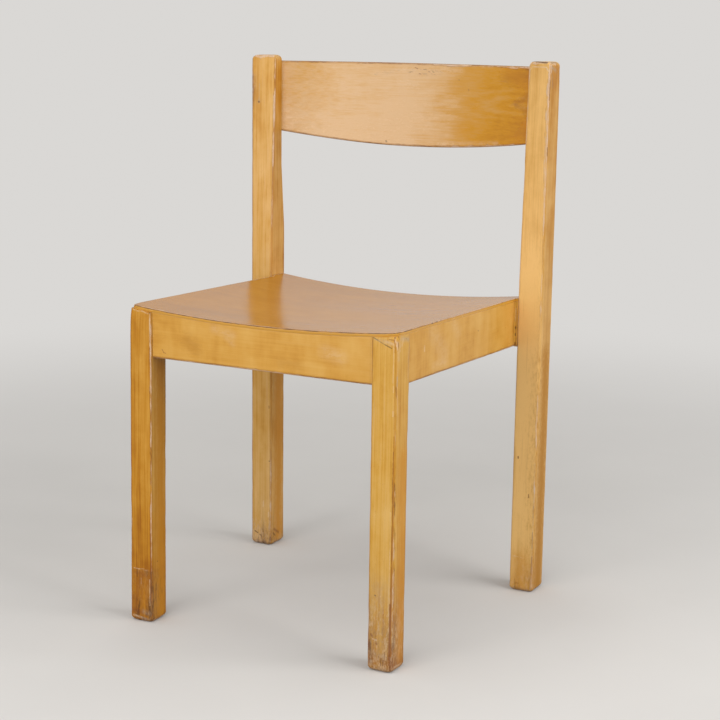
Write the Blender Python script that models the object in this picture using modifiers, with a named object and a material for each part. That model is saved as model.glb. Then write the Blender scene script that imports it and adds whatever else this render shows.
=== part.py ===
"""A wooden side chair: a hollowed plywood seat on a doweled beech frame.

The front of the chair faces -Y and its floor is at Z = 0. The origin is on the floor
under the middle of the chair. Everything is in metres.
"""

from math import cos, pi, radians, sin

import bmesh
import bpy
from mathutils import Matrix, Vector

# Places along the chair, front to back
FRONT = -0.2217  # front faces of the front legs, at the seat
LEG = 0.036  # front legs are square
LEG_BACK = FRONT + LEG
POST_FRONT = FRONT + 0.384
POST_DEPTH = 0.040
POST_BACK = POST_FRONT + POST_DEPTH
SEAT_BACK = FRONT + 0.418

# Places across the chair, from its middle
FRAME_HALF = 0.205  # outer faces of the side rails, and side edges of the seat
LEG_OUT = 0.206  # outer faces of the front legs
LEG_IN = LEG_OUT - LEG
POST_IN = 0.2098  # inner faces of the back posts
POST_WIDTH = 0.037
POST_OUT = POST_IN + POST_WIDTH

# Heights
POST_TOP = 0.786
SEAT_EDGE_FRONT = 0.4545  # top of the seat at its side edges
SEAT_EDGE_BACK = 0.4440
HOLLOW_FRONT = 0.0106  # how far the middle of the seat lies below its side edges
HOLLOW_BACK = 0.0130
RAIL_BOTTOM_FRONT = 0.383
RAIL_BOTTOM_BACK = 0.3735

# Plywood
SEAT_PLY = 0.005
SEAT_CORNER = 0.007
SEAT_EASE = 0.0018
BACKREST_PLY = 0.009
BACKREST_TOP = 0.778
BACKREST_END_BOTTOM = 0.6675
BACKREST_BOW = 0.0145  # how far the lower edge drops in the middle
BACKREST_SWEEP = 0.025  # how far the middle lies behind the ends
BACKREST_END_Y = FRONT + 0.4144
BACKREST_EASE = 0.0025
BACKREST_COLUMNS = 20
BACKREST_ROWS = 4
BACKREST_TAIL = 0.0125  # how far each end's front face runs into its post's rebate

# Frame pieces
RAIL = 0.022
BACK_RAIL = 0.024
RAIL_INSET = 0.003  # the front legs stand this far proud of the front rail
RAIL_EASE = 0.0015
FOOT_SPREAD = 0.002  # the feet of the front legs stand out sideways by this much
FOOT_FORWARD = 0.005  # and forward by this much
ARRIS = 0.003
OUTER_ARRIS = 0.004  # front outer arris of the front legs
POST_CORNER = 0.008  # rounding of the post tops, seen from the front

# Back posts above the seat
SHAVE_START = 0.470  # the front face turns inwards from here up
SHAVE_IN = 0.0125  # how far the inner arris is cut back at the top
SHAVE_OUT = 0.0008
SHAVE_STEPS = 6
REBATE_FULL = 0.617  # the rebate has its full depth from here up
REBATE_LOW = 0.440
REBATE_RUNOUT = 0.0885  # slope of the rebate's floor below that
REBATE_WIDE = 0.0155
REBATE_ROOM = 0.0005  # between the rebate's floor and the backrest

# Dowels and screws
DOWEL_RADIUS = 0.004
DOWEL_LENGTH = 0.036
BORE_RADIUS = 0.0043
BORE_DEPTH = DOWEL_LENGTH / 2 + 0.001
DOWEL_SIDES = 16
FRONT_DOWEL_Y = FRONT + 0.014
SIDE_DOWEL_X = 0.194
BACK_DOWEL_Y = POST_FRONT + 0.012
FRONT_DOWEL_HEIGHTS = (0.398, 0.424)
SIDE_DOWEL_HEIGHTS = (0.410, 0.436)
SIDE_BACK_DOWEL_HEIGHTS = (0.3985, 0.418)
BACK_DOWEL_HEIGHTS = (0.386, 0.430)
SCREW_SIDES = 12
SCREW_RADIUS = 0.002
SCREW_HEAD = 0.004
SCREW_CONE = 0.0025
SCREW_SLOT = 0.0009
SCREW_SLOT_DEPTH = 0.0012
BLOCK_SCREW = 0.030
BACKREST_SCREW = 0.020
BACKREST_SCREW_IN = 0.0075  # from the post's inner face
BACKREST_SCREW_HEIGHTS = (0.700, 0.748)
SCREW_SINK = 0.004
FRONT_SCREW_REACH = 0.033  # along each rail, from the corner between them
BACK_SCREW_REACH = 0.031
BLOCK_SCREW_TURNS = (radians(25), radians(70))
BACKREST_SCREW_TURN = radians(35)

# Corner blocks
BLOCK_LEG = 0.0504  # length of a block along each rail
BLOCK_THICK = 0.025
FRONT_BLOCK_BOTTOM = 0.398
BACK_BLOCK_BOTTOM = 0.390

GAP = 0.0003  # between pieces that touch
OVER = 0.01  # how far a cutter runs past what it cuts
CLEARANCE_RISE = 0.06  # thickness of the cutter above the rails and leg tops
SHARP = radians(50)  # edges turned by more than this are eased

# Colours
HONEY = (0.560, 0.310, 0.085)
AMBER = (0.520, 0.270, 0.060)
SEAT_TAN = (0.470, 0.255, 0.085)
BARE_BEECH = (0.600, 0.420, 0.240)
STEEL = (0.420, 0.400, 0.370)

for old in list(bpy.data.objects):
    bpy.data.objects.remove(old, do_unlink=True)

chair = bpy.data.collections.new("side_chair")
cutters = bpy.data.collections.new("cutters")
bpy.context.scene.collection.children.link(chair)
bpy.context.scene.collection.children.link(cutters)


def material(name, colour, roughness, metallic=0.0):
    made = bpy.data.materials.new(name)
    made.use_nodes = True
    shader = made.node_tree.nodes["Principled BSDF"]
    shader.inputs["Base Color"].default_value = (*colour, 1.0)
    shader.inputs["Roughness"].default_value = roughness
    shader.inputs["Metallic"].default_value = metallic
    return made


def piece(name, mesh, finish):
    """Adds a visible piece of the chair with its own material."""
    made = bpy.data.objects.new(name, mesh)
    mesh.materials.clear()
    mesh.materials.append(material(name, *finish))
    chair.objects.link(made)
    return made


def cutter(name, mesh):
    made = bpy.data.objects.new(name, mesh)
    made.hide_render = True
    made.display_type = "WIRE"
    cutters.objects.link(made)
    return made


def mesh_of(shape, name):
    bmesh.ops.recalc_face_normals(shape, faces=shape.faces)
    mesh = bpy.data.meshes.new(name)
    shape.to_mesh(mesh)
    shape.free()
    return mesh


def box(low, high):
    """A bmesh box between two corners."""
    low, high = Vector(low), Vector(high)
    shape = bmesh.new()
    bmesh.ops.create_cube(shape, size=1.0)
    bmesh.ops.scale(shape, vec=high - low, verts=shape.verts)
    bmesh.ops.translate(shape, vec=(low + high) / 2, verts=shape.verts)
    return shape


def slice_at(shape, heights):
    """Adds a loop of edges round the shape at each height."""
    for height in heights:
        geometry = shape.verts[:] + shape.edges[:] + shape.faces[:]
        bmesh.ops.bisect_plane(
            shape, geom=geometry, plane_co=(0, 0, height), plane_no=(0, 0, 1)
        )


def ease(made, width):
    """Rounds every sharp edge of a piece."""
    bevel = made.modifiers.new("ease", "BEVEL")
    bevel.width = width
    bevel.segments = 3
    bevel.limit_method = "ANGLE"
    bevel.angle_limit = SHARP
    bevel.use_clamp_overlap = False


def ease_by_weight(made, width):
    bevel = made.modifiers.new("ease", "BEVEL")
    bevel.width = width
    bevel.segments = 3
    bevel.limit_method = "WEIGHT"


def cut(made, *tools):
    for tool in tools:
        boolean = made.modifiers.new(tool.name, "BOOLEAN")
        boolean.operation = "DIFFERENCE"
        boolean.solver = "EXACT"
        boolean.object = tool


def turn_to(direction):
    """The rotation that turns +Z to a direction."""
    return Vector((0, 0, 1)).rotation_difference(Vector(direction)).to_matrix().to_4x4()


def cylinder(radius, length):
    shape = bmesh.new()
    bmesh.ops.create_cone(
        shape,
        cap_ends=True,
        segments=DOWEL_SIDES,
        radius1=radius,
        radius2=radius,
        depth=length,
    )
    return shape


def seat_top(x, y):
    """Height of the seat's upper face: hollow across, and falling to the back."""
    along = (y - FRONT) / (SEAT_BACK - FRONT)
    edge = SEAT_EDGE_FRONT + (SEAT_EDGE_BACK - SEAT_EDGE_FRONT) * along
    hollow = HOLLOW_FRONT + (HOLLOW_BACK - HOLLOW_FRONT) * along
    return edge - hollow * (1 - (x / FRAME_HALF) ** 2)


def rail_bottom(y):
    """Height of the side rails' lower edge, which falls to the back as the seat does."""
    along = (y - LEG_BACK) / (POST_FRONT - LEG_BACK)
    return RAIL_BOTTOM_FRONT + (RAIL_BOTTOM_BACK - RAIL_BOTTOM_FRONT) * along


def backrest_front(x):
    """Y of the backrest's front face, which is hollow towards the sitter."""
    return BACKREST_END_Y + BACKREST_SWEEP * (1 - (x / POST_IN) ** 2)


def backrest_bottom(x):
    return BACKREST_END_BOTTOM - BACKREST_BOW * (1 - (x / POST_IN) ** 2)


def surface(columns, rows, place):
    """An open grid whose points go where place(u, row) puts them, u from -1 to 1."""
    shape = bmesh.new()
    bmesh.ops.create_grid(shape, x_segments=columns, y_segments=rows, size=1.0)
    for vert in shape.verts:
        row = round((vert.co.y + 1) / 2 * rows)
        vert.co = place(vert.co.x, row)
    return shape


def slab(shape, rise):
    """Gives an open surface upright sides: a copy of it at a distance up or down."""
    grown = bmesh.ops.extrude_face_region(shape, geom=shape.faces[:])
    moved = [item for item in grown["geom"] if isinstance(item, bmesh.types.BMVert)]
    bmesh.ops.translate(shape, vec=(0, 0, rise), verts=moved)


# Seat panel. It covers the rails and the leg tops, and has an ear beside each post.
CORNER_ROWS = 4
PLAIN_ROWS = 5
SEAT_COLUMNS = 16
EAR_FRONT = POST_FRONT + 0.0010
EAR_STEP = 0.0003


def seat_rows():
    """Each row's Y and half width, from the front edge to the back edge."""
    rows = []
    for step in range(CORNER_ROWS + 1):
        angle = pi / 2 * step / CORNER_ROWS
        y = FRONT + SEAT_CORNER * (1 - cos(angle))
        rows.append((y, FRAME_HALF - SEAT_CORNER * (1 - sin(angle))))
    start = FRONT + SEAT_CORNER
    for step in range(1, PLAIN_ROWS + 1):
        y = start + (EAR_FRONT - start) * step / PLAIN_ROWS
        rows.append((y, FRAME_HALF))
    ear_half = POST_IN - GAP
    rows.append((EAR_FRONT + EAR_STEP, ear_half))
    rows.append((SEAT_BACK, ear_half))
    return rows


def seat_panel():
    rows = seat_rows()

    def place(u, row):
        y, half = rows[row]
        return Vector((u * half, y, seat_top(u * half, y)))

    shape = surface(SEAT_COLUMNS, len(rows) - 1, place)
    slab(shape, -SEAT_PLY)
    shape.normal_update()
    weights = shape.edges.layers.float.new("bevel_weight_edge")
    for edge in shape.edges:
        upright = [abs(face.normal.z) < 0.5 for face in edge.link_faces]
        nearest = min(vert.co.y for vert in edge.verts)
        at_ear = nearest > EAR_FRONT - EAR_STEP and nearest < SEAT_BACK - EAR_STEP
        if upright.count(True) == 1 and not at_ear:
            edge[weights] = 1.0
    made = piece("seat_panel", mesh_of(shape, "seat_panel"), (SEAT_TAN, 0.30))
    ease_by_weight(made, SEAT_EASE)
    return made


def seat_clearance():
    """What the rails and leg tops are cut to, so that they follow the seat's underside."""
    half = FRAME_HALF + OVER
    first, last = FRONT - OVER, SEAT_BACK + OVER

    def place(u, row):
        y = first + (last - first) * row / PLAIN_ROWS
        return Vector((u * half, y, seat_top(u * half, y) - SEAT_PLY - GAP))

    shape = surface(SEAT_COLUMNS, PLAIN_ROWS, place)
    slab(shape, CLEARANCE_RISE)
    return cutter("seat_clearance", mesh_of(shape, "seat_clearance"))


seat_panel()
seat_clear = seat_clearance()
RAW_TOP = SEAT_EDGE_FRONT + OVER


def bore(name, centre, direction):
    """A cutter for one dowel: a blind bore that reaches both ways from the joint."""
    mesh = mesh_of(cylinder(BORE_RADIUS, 2 * BORE_DEPTH), name)
    made = cutter(name, mesh)
    made.matrix_world = Matrix.Translation(centre) @ turn_to(direction)
    return made


def dowel(name, centre, direction):
    mesh = mesh_of(cylinder(DOWEL_RADIUS, DOWEL_LENGTH), name)
    made = piece(name, mesh, (BARE_BEECH, 0.70))
    made.matrix_world = Matrix.Translation(centre) @ turn_to(direction)


def doweled_joint(name, x, y, heights, direction):
    """Puts the dowels of one joint in place and returns the cutters for their bores."""
    tools = []
    for height, level in zip(heights, ("low", "high")):
        centre = Vector((x, y, height))
        dowel(f"dowel_{name}_{level}", centre, direction)
        tools.append(bore(f"bore_{name}_{level}", centre, direction))
    return tools


def turned(name, profile):
    """A mesh turned from a profile that runs down its outer side."""
    shape = bmesh.new()
    verts = [shape.verts.new((x, 0, z)) for x, z in profile]
    for first, second in zip(verts, verts[1:]):
        shape.edges.new((first, second))
    raw = bpy.data.meshes.new(name)
    shape.to_mesh(raw)
    shape.free()
    lathe = bpy.data.objects.new(name, raw)
    bpy.context.scene.collection.objects.link(lathe)
    spin = lathe.modifiers.new("turn", "SCREW")
    spin.steps = SCREW_SIDES
    spin.render_steps = SCREW_SIDES
    spin.use_merge_vertices = True
    spin.merge_threshold = 0.00001
    graph = bpy.context.evaluated_depsgraph_get()
    mesh = bpy.data.meshes.new_from_object(lathe.evaluated_get(graph))
    bpy.data.objects.remove(lathe, do_unlink=True)
    whole = bmesh.new()
    whole.from_mesh(mesh)
    bmesh.ops.remove_doubles(whole, verts=whole.verts, dist=0.00001)
    bmesh.ops.recalc_face_normals(whole, faces=whole.faces)
    whole.to_mesh(mesh)
    whole.free()
    return mesh


def screw_profile(length, room):
    """Countersunk wood screw with its head up at Z = 0, or the hole that clears it."""
    tip = SCREW_RADIUS * 2
    return (
        (0, room),
        (SCREW_HEAD + room, room),
        (SCREW_HEAD + room, -room),
        (SCREW_RADIUS + room, -SCREW_CONE - room),
        (SCREW_RADIUS + room, -length + tip),
        (0, -length - room),
    )


def screw_hole_profile(length):
    """The clearance for a screw, with a straight counterbore above its head."""
    points = screw_profile(length, GAP)
    wide = SCREW_HEAD + GAP
    return ((0, 2 * OVER), (wide, 2 * OVER), (wide, -GAP)) + points[3:]


def slotted_screw(name, length):
    """The mesh of a slotted screw, cut once and then shared by every copy."""
    whole = bpy.data.objects.new(name, turned(name, screw_profile(length, 0)))
    bpy.context.scene.collection.objects.link(whole)
    wide = SCREW_HEAD + OVER
    shape = box((-wide, -SCREW_SLOT / 2, -SCREW_SLOT_DEPTH), (wide, SCREW_SLOT / 2, OVER))
    slot = cutter(name + "_slot", mesh_of(shape, name + "_slot"))
    cut(whole, slot)
    graph = bpy.context.evaluated_depsgraph_get()
    mesh = bpy.data.meshes.new_from_object(whole.evaluated_get(graph))
    bpy.data.objects.remove(whole, do_unlink=True)
    bpy.data.objects.remove(slot, do_unlink=True)
    return mesh


block_screw_mesh = slotted_screw("block_screw", BLOCK_SCREW)
backrest_screw_mesh = slotted_screw("backrest_screw", BACKREST_SCREW)


def screw(name, mesh, length, head, drive, roll):
    """Places a screw with its head at a point, driven along a direction.

    Returns the cutter for its hole.
    """
    away = Vector(drive) * -1
    where = Matrix.Translation(head) @ turn_to(away)
    made = piece(name, mesh.copy(), (STEEL, 0.45, 1.0))
    made.matrix_world = where @ Matrix.Rotation(roll, 4, "Z")
    hole = cutter(name + "_hole", turned(name + "_hole", screw_hole_profile(length)))
    hole.matrix_world = where
    return hole


def front_leg(side, name):
    """A square leg whose foot stands out a little. side is -1 on the left, 1 on the right."""
    outer, inner = side * LEG_OUT, side * LEG_IN
    low = (min(outer, inner), FRONT, 0)
    high = (max(outer, inner), LEG_BACK, RAW_TOP)
    shape = box(low, high)
    weights = shape.edges.layers.float.new("bevel_weight_edge")
    for edge in shape.edges:
        middle = (edge.verts[0].co + edge.verts[1].co) / 2
        at_front = abs(middle.y - FRONT) < GAP and abs(middle.x - outer) < GAP
        edge[weights] = 1.0 if at_front else ARRIS / OUTER_ARRIS
    spread = Vector((side * FOOT_SPREAD, -FOOT_FORWARD, 0))
    for vert in shape.verts:
        vert.co += spread * (1 - vert.co.z / RAW_TOP)
    made = piece(name, mesh_of(shape, name), (HONEY, 0.35))
    ease_by_weight(made, OUTER_ARRIS)
    cut(made, seat_clear)
    return made


def post_rebate(side, name):
    """The cut in the inner back corner of a post that takes the backrest's end."""
    inside, outside = POST_IN - OVER, POST_IN + REBATE_WIDE
    low = (min(side * inside, side * outside), 0, REBATE_LOW)
    high = (max(side * inside, side * outside), POST_BACK + 2 * OVER, POST_TOP + OVER)
    shape = box(low, high)
    slice_at(shape, [REBATE_FULL])
    turn = 2 * BACKREST_SWEEP / POST_IN
    for vert in shape.verts:
        if vert.co.y < POST_FRONT:
            drop = max(0.0, REBATE_FULL - vert.co.z)
            wall = BACKREST_END_Y - REBATE_ROOM - turn * (abs(vert.co.x) - POST_IN)
            vert.co.y = wall + REBATE_RUNOUT * drop
    return cutter(name, mesh_of(shape, name))


def back_post(side, name):
    """A back leg and backrest upright in one piece.

    Above the seat its front face turns inwards, and its inner back corner is rebated.
    """
    inner, outer = side * POST_IN, side * POST_OUT
    low = (min(inner, outer), POST_FRONT, 0)
    high = (max(inner, outer), POST_BACK, POST_TOP)
    shape = box(low, high)
    crown = []
    for edge in shape.edges:
        first, second = edge.verts
        across = abs(first.co.x - second.co.x) < GAP
        if across and min(first.co.z, second.co.z) > POST_TOP - GAP:
            crown.append(edge)
    bmesh.ops.bevel(
        shape,
        geom=crown,
        offset=POST_CORNER,
        segments=4,
        profile=0.5,
        affect="EDGES",
    )
    rise = (POST_TOP - POST_CORNER - SHAVE_START) / SHAVE_STEPS
    slice_at(shape, [SHAVE_START + rise * step for step in range(SHAVE_STEPS)])
    for vert in shape.verts:
        if vert.co.y < POST_FRONT + GAP and vert.co.z > SHAVE_START:
            height = (vert.co.z - SHAVE_START) / (POST_TOP - SHAVE_START)
            across = (abs(vert.co.x) - POST_IN) / POST_WIDTH
            vert.co.y += height * (SHAVE_IN + (SHAVE_OUT - SHAVE_IN) * across)
    made = piece(name, mesh_of(shape, name), (HONEY, 0.35))
    ease(made, ARRIS)
    cut(made, post_rebate(side, name + "_rebate"))
    return made


def strip(name, low, high, finish):
    """A rail: a box whose long lower arrises are eased. Its ends stay square."""
    shape = box(low, high)
    lengths = [high[axis] - low[axis] for axis in range(3)]
    along = lengths.index(max(lengths))
    lower = []
    for edge in shape.edges:
        first, second = edge.verts
        at_bottom = max(first.co.z, second.co.z) < low[2] + GAP
        if at_bottom and abs(first.co[along] - second.co[along]) > GAP:
            lower.append(edge)
    bmesh.ops.bevel(
        shape, geom=lower, offset=RAIL_EASE, segments=2, profile=0.5, affect="EDGES"
    )
    return piece(name, mesh_of(shape, name), finish)


def front_rail():
    half = LEG_IN - GAP
    face = FRONT + RAIL_INSET
    low = (-half, face, RAIL_BOTTOM_FRONT)
    high = (half, face + RAIL, RAW_TOP)
    made = strip("front_rail", low, high, (AMBER, 0.30))
    cut(made, seat_clear)
    return made


def side_rail(side, name):
    outer, inner = side * FRAME_HALF, side * (FRAME_HALF - RAIL)
    low = (min(outer, inner), LEG_BACK + GAP, RAIL_BOTTOM_FRONT)
    high = (max(outer, inner), POST_FRONT - GAP, RAW_TOP)
    made = strip(name, low, high, (AMBER, 0.30))
    for vert in made.data.vertices:
        if vert.co.z < RAIL_BOTTOM_FRONT + OVER:
            vert.co.z += rail_bottom(vert.co.y) - RAIL_BOTTOM_FRONT
    cut(made, seat_clear)
    return made


def back_rail():
    half = POST_IN - GAP
    low = (-half, POST_FRONT, RAIL_BOTTOM_BACK)
    high = (half, POST_FRONT + BACK_RAIL, RAW_TOP)
    made = strip("back_rail", low, high, (AMBER, 0.30))
    cut(made, seat_clear)
    return made


def corner_block(name, outline, bottom):
    """A glued block cut to an outline seen from above."""
    shape = bmesh.new()
    verts = [shape.verts.new((x, y, bottom)) for x, y in outline]
    face = shape.faces.new(verts)
    grown = bmesh.ops.extrude_face_region(shape, geom=[face])
    top = [item for item in grown["geom"] if isinstance(item, bmesh.types.BMVert)]
    bmesh.ops.translate(shape, vec=(0, 0, BLOCK_THICK), verts=top)
    return piece(name, mesh_of(shape, name), (BARE_BEECH, 0.65))


def block_screws(name, block, rails, corner, reach, towards, height):
    """Two screws through a block, one into each rail.

    corner is where the rails' inner faces meet, reach how far along each rail the
    screws stand, and towards the direction of the chair's corner from the block.
    """
    side, end = towards
    thick = BLOCK_LEG - reach
    end_head = (corner[0] - side * reach, corner[1] - end * (thick - SCREW_SINK), height)
    side_head = (corner[0] - side * (thick - SCREW_SINK), corner[1] - end * reach, height)
    first, second = BLOCK_SCREW_TURNS
    into_end_rail = screw(
        name + "_1", block_screw_mesh, BLOCK_SCREW, end_head, (0, end, 0), first
    )
    into_side_rail = screw(
        name + "_2", block_screw_mesh, BLOCK_SCREW, side_head, (side, 0, 0), second
    )
    cut(block, into_end_rail, into_side_rail)
    cut(rails[0], into_end_rail)
    cut(rails[1], into_side_rail)


def backrest():
    tail = POST_IN + BACKREST_TAIL

    def place(u, row):
        x = u * tail
        low = backrest_bottom(x)
        z = low + (BACKREST_TOP - low) * row / BACKREST_ROWS
        return Vector((x, backrest_front(x), z))

    shape = surface(BACKREST_COLUMNS, BACKREST_ROWS, place)
    mesh = bpy.data.meshes.new("backrest")
    shape.to_mesh(mesh)
    shape.free()
    made = piece("backrest", mesh, (HONEY, 0.30))
    solid = made.modifiers.new("thickness", "SOLIDIFY")
    solid.thickness = BACKREST_PLY
    solid.offset = -1
    ease(made, BACKREST_EASE)
    return made


frame_front = front_rail()
frame_back = back_rail()
panel = backrest()
inner_side = FRAME_HALF - RAIL
front_face = FRONT + RAIL_INSET + RAIL

for side, hand in ((-1, "left"), (1, "right")):
    leg = front_leg(side, f"front_{hand}_leg")
    post = back_post(side, f"back_{hand}_post")
    rail = side_rail(side, f"{hand}_side_rail")

    joint_x = side * (LEG_IN - GAP / 2)
    bores = doweled_joint(
        f"front_{hand}", joint_x, FRONT_DOWEL_Y, FRONT_DOWEL_HEIGHTS, (side, 0, 0)
    )
    cut(leg, *bores)
    cut(frame_front, *bores)

    side_x = side * SIDE_DOWEL_X
    bores = doweled_joint(
        f"{hand}_front", side_x, LEG_BACK + GAP / 2, SIDE_DOWEL_HEIGHTS, (0, -1, 0)
    )
    cut(leg, *bores)
    cut(rail, *bores)

    bores = doweled_joint(
        f"{hand}_back", side_x, POST_FRONT - GAP / 2, SIDE_BACK_DOWEL_HEIGHTS, (0, 1, 0)
    )
    cut(rail, *bores)
    cut(frame_back, *bores)

    joint_x = side * (POST_IN - GAP / 2)
    bores = doweled_joint(
        f"back_{hand}", joint_x, BACK_DOWEL_Y, BACK_DOWEL_HEIGHTS, (side, 0, 0)
    )
    cut(frame_back, *bores)
    cut(post, *bores)

    near_x, near_y = side * (inner_side - GAP), front_face + GAP
    notch_x = side * (LEG_IN - GAP)
    notch_y = LEG_BACK + GAP
    outline = (
        (near_x - side * BLOCK_LEG, near_y),
        (notch_x, near_y),
        (notch_x, notch_y),
        (near_x, notch_y),
        (near_x, near_y + BLOCK_LEG),
    )
    block = corner_block(f"front_{hand}_corner_block", outline, FRONT_BLOCK_BOTTOM)
    block_screws(
        f"front_{hand}_block_screw",
        block,
        (frame_front, rail),
        (near_x, near_y),
        FRONT_SCREW_REACH,
        (side, -1),
        FRONT_BLOCK_BOTTOM + BLOCK_THICK / 2,
    )

    far_y = POST_FRONT - GAP
    outline = (
        (near_x, far_y),
        (near_x - side * BLOCK_LEG, far_y),
        (near_x, far_y - BLOCK_LEG),
    )
    block = corner_block(f"back_{hand}_corner_block", outline, BACK_BLOCK_BOTTOM)
    block_screws(
        f"back_{hand}_block_screw",
        block,
        (frame_back, rail),
        (near_x, far_y),
        BACK_SCREW_REACH,
        (side, 1),
        BACK_BLOCK_BOTTOM + BLOCK_THICK / 2,
    )

    screw_x = side * (POST_IN + BACKREST_SCREW_IN)
    head_y = backrest_front(screw_x) + BACKREST_PLY
    for number, height in enumerate(BACKREST_SCREW_HEIGHTS, 1):
        hole = screw(
            f"backrest_{hand}_screw_{number}",
            backrest_screw_mesh,
            BACKREST_SCREW,
            (screw_x, head_y, height),
            (0, -1, 0),
            BACKREST_SCREW_TURN * number * side,
        )
        cut(panel, hole)
        cut(post, hole)
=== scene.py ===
"""A worn side chair of clear-lacquered beech, with a hollowed plywood seat and a curved
plywood backrest.

Everything is in metres, unless it says millimetres. The front of the chair faces -Y, and left
and right are as seen from in front.
"""
from math import cos, hypot, pi, radians, sin, sqrt

import bmesh
import bpy
from mathutils import Matrix, Vector, noise


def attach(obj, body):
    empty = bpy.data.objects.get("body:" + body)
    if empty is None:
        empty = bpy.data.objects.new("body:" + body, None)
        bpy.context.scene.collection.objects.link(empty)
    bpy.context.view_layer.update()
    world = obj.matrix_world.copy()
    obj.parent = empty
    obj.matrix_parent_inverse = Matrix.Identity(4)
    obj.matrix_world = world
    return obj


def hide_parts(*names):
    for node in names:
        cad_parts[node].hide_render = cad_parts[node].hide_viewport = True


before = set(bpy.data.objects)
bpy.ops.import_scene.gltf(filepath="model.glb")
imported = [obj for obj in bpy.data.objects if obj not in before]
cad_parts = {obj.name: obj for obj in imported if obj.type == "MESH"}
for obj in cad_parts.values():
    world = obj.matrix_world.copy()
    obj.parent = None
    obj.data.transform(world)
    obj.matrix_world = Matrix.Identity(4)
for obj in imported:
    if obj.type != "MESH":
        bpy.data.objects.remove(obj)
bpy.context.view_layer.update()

# Camera. It stands at eye height, a little over two metres away and to the right of the
# chair's front, with a short telephoto lens.
EYE = (1.13243, -2.0709, 0.84243)
TURN, DIP, ROLL = radians(27.904), radians(11.553), radians(0.7353)

camera_data = bpy.data.cameras.new("camera")
camera_data.lens = 83.49
camera_data.sensor_width = 36.0
camera = bpy.data.objects.new("camera", camera_data)
camera.matrix_world = (
    Matrix.Translation(EYE)
    @ Matrix.Rotation(TURN, 4, "Z")
    @ Matrix.Rotation(pi / 2 - DIP, 4, "X")
    @ Matrix.Rotation(ROLL, 4, "Z")
)
bpy.context.scene.collection.objects.link(camera)
bpy.context.scene.camera = camera
bpy.context.scene.view_settings.view_transform = "Standard"


# Studio. A plain pale floor runs out into an even pale surround. A large soft panel stands in
# front with a low wide one to the left under it, a third is to the right, and a weak one hangs
# overhead. The first and the third give no gloss, which would burn out the seat when it is seen
# from behind or from the left.
BACKDROP = (0.70, 0.685, 0.665)
ROOM_LIGHT = (0.50, 0.49, 0.475)
FLOOR_COLOUR = (0.645, 0.632, 0.614)
FLOOR_BOUNCE = (0.20, 0.19, 0.18)
FLOOR_REACH = 14.0


def feed(tree, socket, value):
    """Joins a node's input to another node's output, or sets its value."""
    if isinstance(value, Reading):
        value = value.socket
    if isinstance(value, bpy.types.NodeSocket):
        tree.links.new(value, socket)
    elif isinstance(value, tuple) and socket.type == "RGBA" and len(value) == 3:
        socket.default_value = (*value, 1.0)
    else:
        socket.default_value = value


def node(tree, kind, inputs=(), **settings):
    """Adds a node with its options set and its inputs fed, by name or by number."""
    made = tree.nodes.new(kind)
    for name, value in settings.items():
        setattr(made, name, value)
    for key, value in dict(inputs).items():
        feed(tree, made.inputs[key], value)
    return made


def calc(tree, operation, *values):
    made = node(tree, "ShaderNodeMath", dict(enumerate(values)), operation=operation)
    return Reading(tree, made.outputs[0])


class Reading:
    """A number that nodes work out at every point, so that sums on it read as sums."""

    def __init__(self, tree, socket):
        self.tree, self.socket = tree, socket

    def root(self):
        return calc(self.tree, "SQRT", calc(self.tree, "MAXIMUM", self, 0.0))

    def at_least(self, other):
        return calc(self.tree, "MAXIMUM", self, other)

    def at_most(self, other):
        return calc(self.tree, "MINIMUM", self, other)

    def ramp(self, start, end):
        """0 before start, 1 after end, and a smooth slope between."""
        made = node(
            self.tree,
            "ShaderNodeMapRange",
            {"Value": self, "From Min": start, "From Max": end},
            interpolation_type="SMOOTHSTEP",
        )
        return Reading(self.tree, made.outputs["Result"])


def give_operator(symbol, operation, turned):
    """Lets Python's own operator on readings add the node for it."""
    def calculate(self, other):
        first, second = (other, self) if turned else (self, other)
        return calc(self.tree, operation, first, second)

    setattr(Reading, f"__{'r' if turned else ''}{symbol}__", calculate)


for symbol, operation in (
    ("add", "ADD"), ("sub", "SUBTRACT"), ("mul", "MULTIPLY"), ("truediv", "DIVIDE")
):
    for turned in (False, True):
        give_operator(symbol, operation, turned)
give_operator("gt", "GREATER_THAN", False)
give_operator("lt", "LESS_THAN", False)


def vector_reading(tree, operation, inputs):
    """A number worked out from vectors."""
    made = node(tree, "ShaderNodeVectorMath", inputs, operation=operation)
    return Reading(tree, made.outputs["Value"])


def parts(tree, vector):
    """The X, Y and Z of a vector."""
    split = node(tree, "ShaderNodeSeparateXYZ", {0: vector})
    return [Reading(tree, part) for part in split.outputs]


def mixed(tree, share, first, second):
    """A colour between two others."""
    made = node(tree, "ShaderNodeMix", data_type="RGBA")
    for socket, value in (("Factor", share), (6, first), (7, second)):
        feed(tree, made.inputs[socket], value)
    return made.outputs[2]


def seen_directly(tree):
    """1 for rays from the camera, mirrors and glass, 0 for those that carry light."""
    path = node(tree, "ShaderNodeLightPath")
    camera_ray, glossy, through = (
        Reading(tree, path.outputs[name])
        for name in ("Is Camera Ray", "Is Glossy Ray", "Is Transmission Ray")
    )
    return camera_ray.at_least(glossy).at_least(through)


surround = bpy.data.worlds.new("surround")
surround.use_nodes = True
tree = surround.node_tree
shown = mixed(tree, seen_directly(tree), ROOM_LIGHT, BACKDROP)
feed(tree, tree.nodes["Background"].inputs["Color"], shown)
bpy.context.scene.world = surround


def new_finish(name):
    """A new material. Returns it, its tree, its shader and the place on the object."""
    made = bpy.data.materials.new(name)
    made.use_nodes = True
    tree = made.node_tree
    place = node(tree, "ShaderNodeTexCoord").outputs["Object"]
    return made, tree, tree.nodes["Principled BSDF"], place


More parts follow.
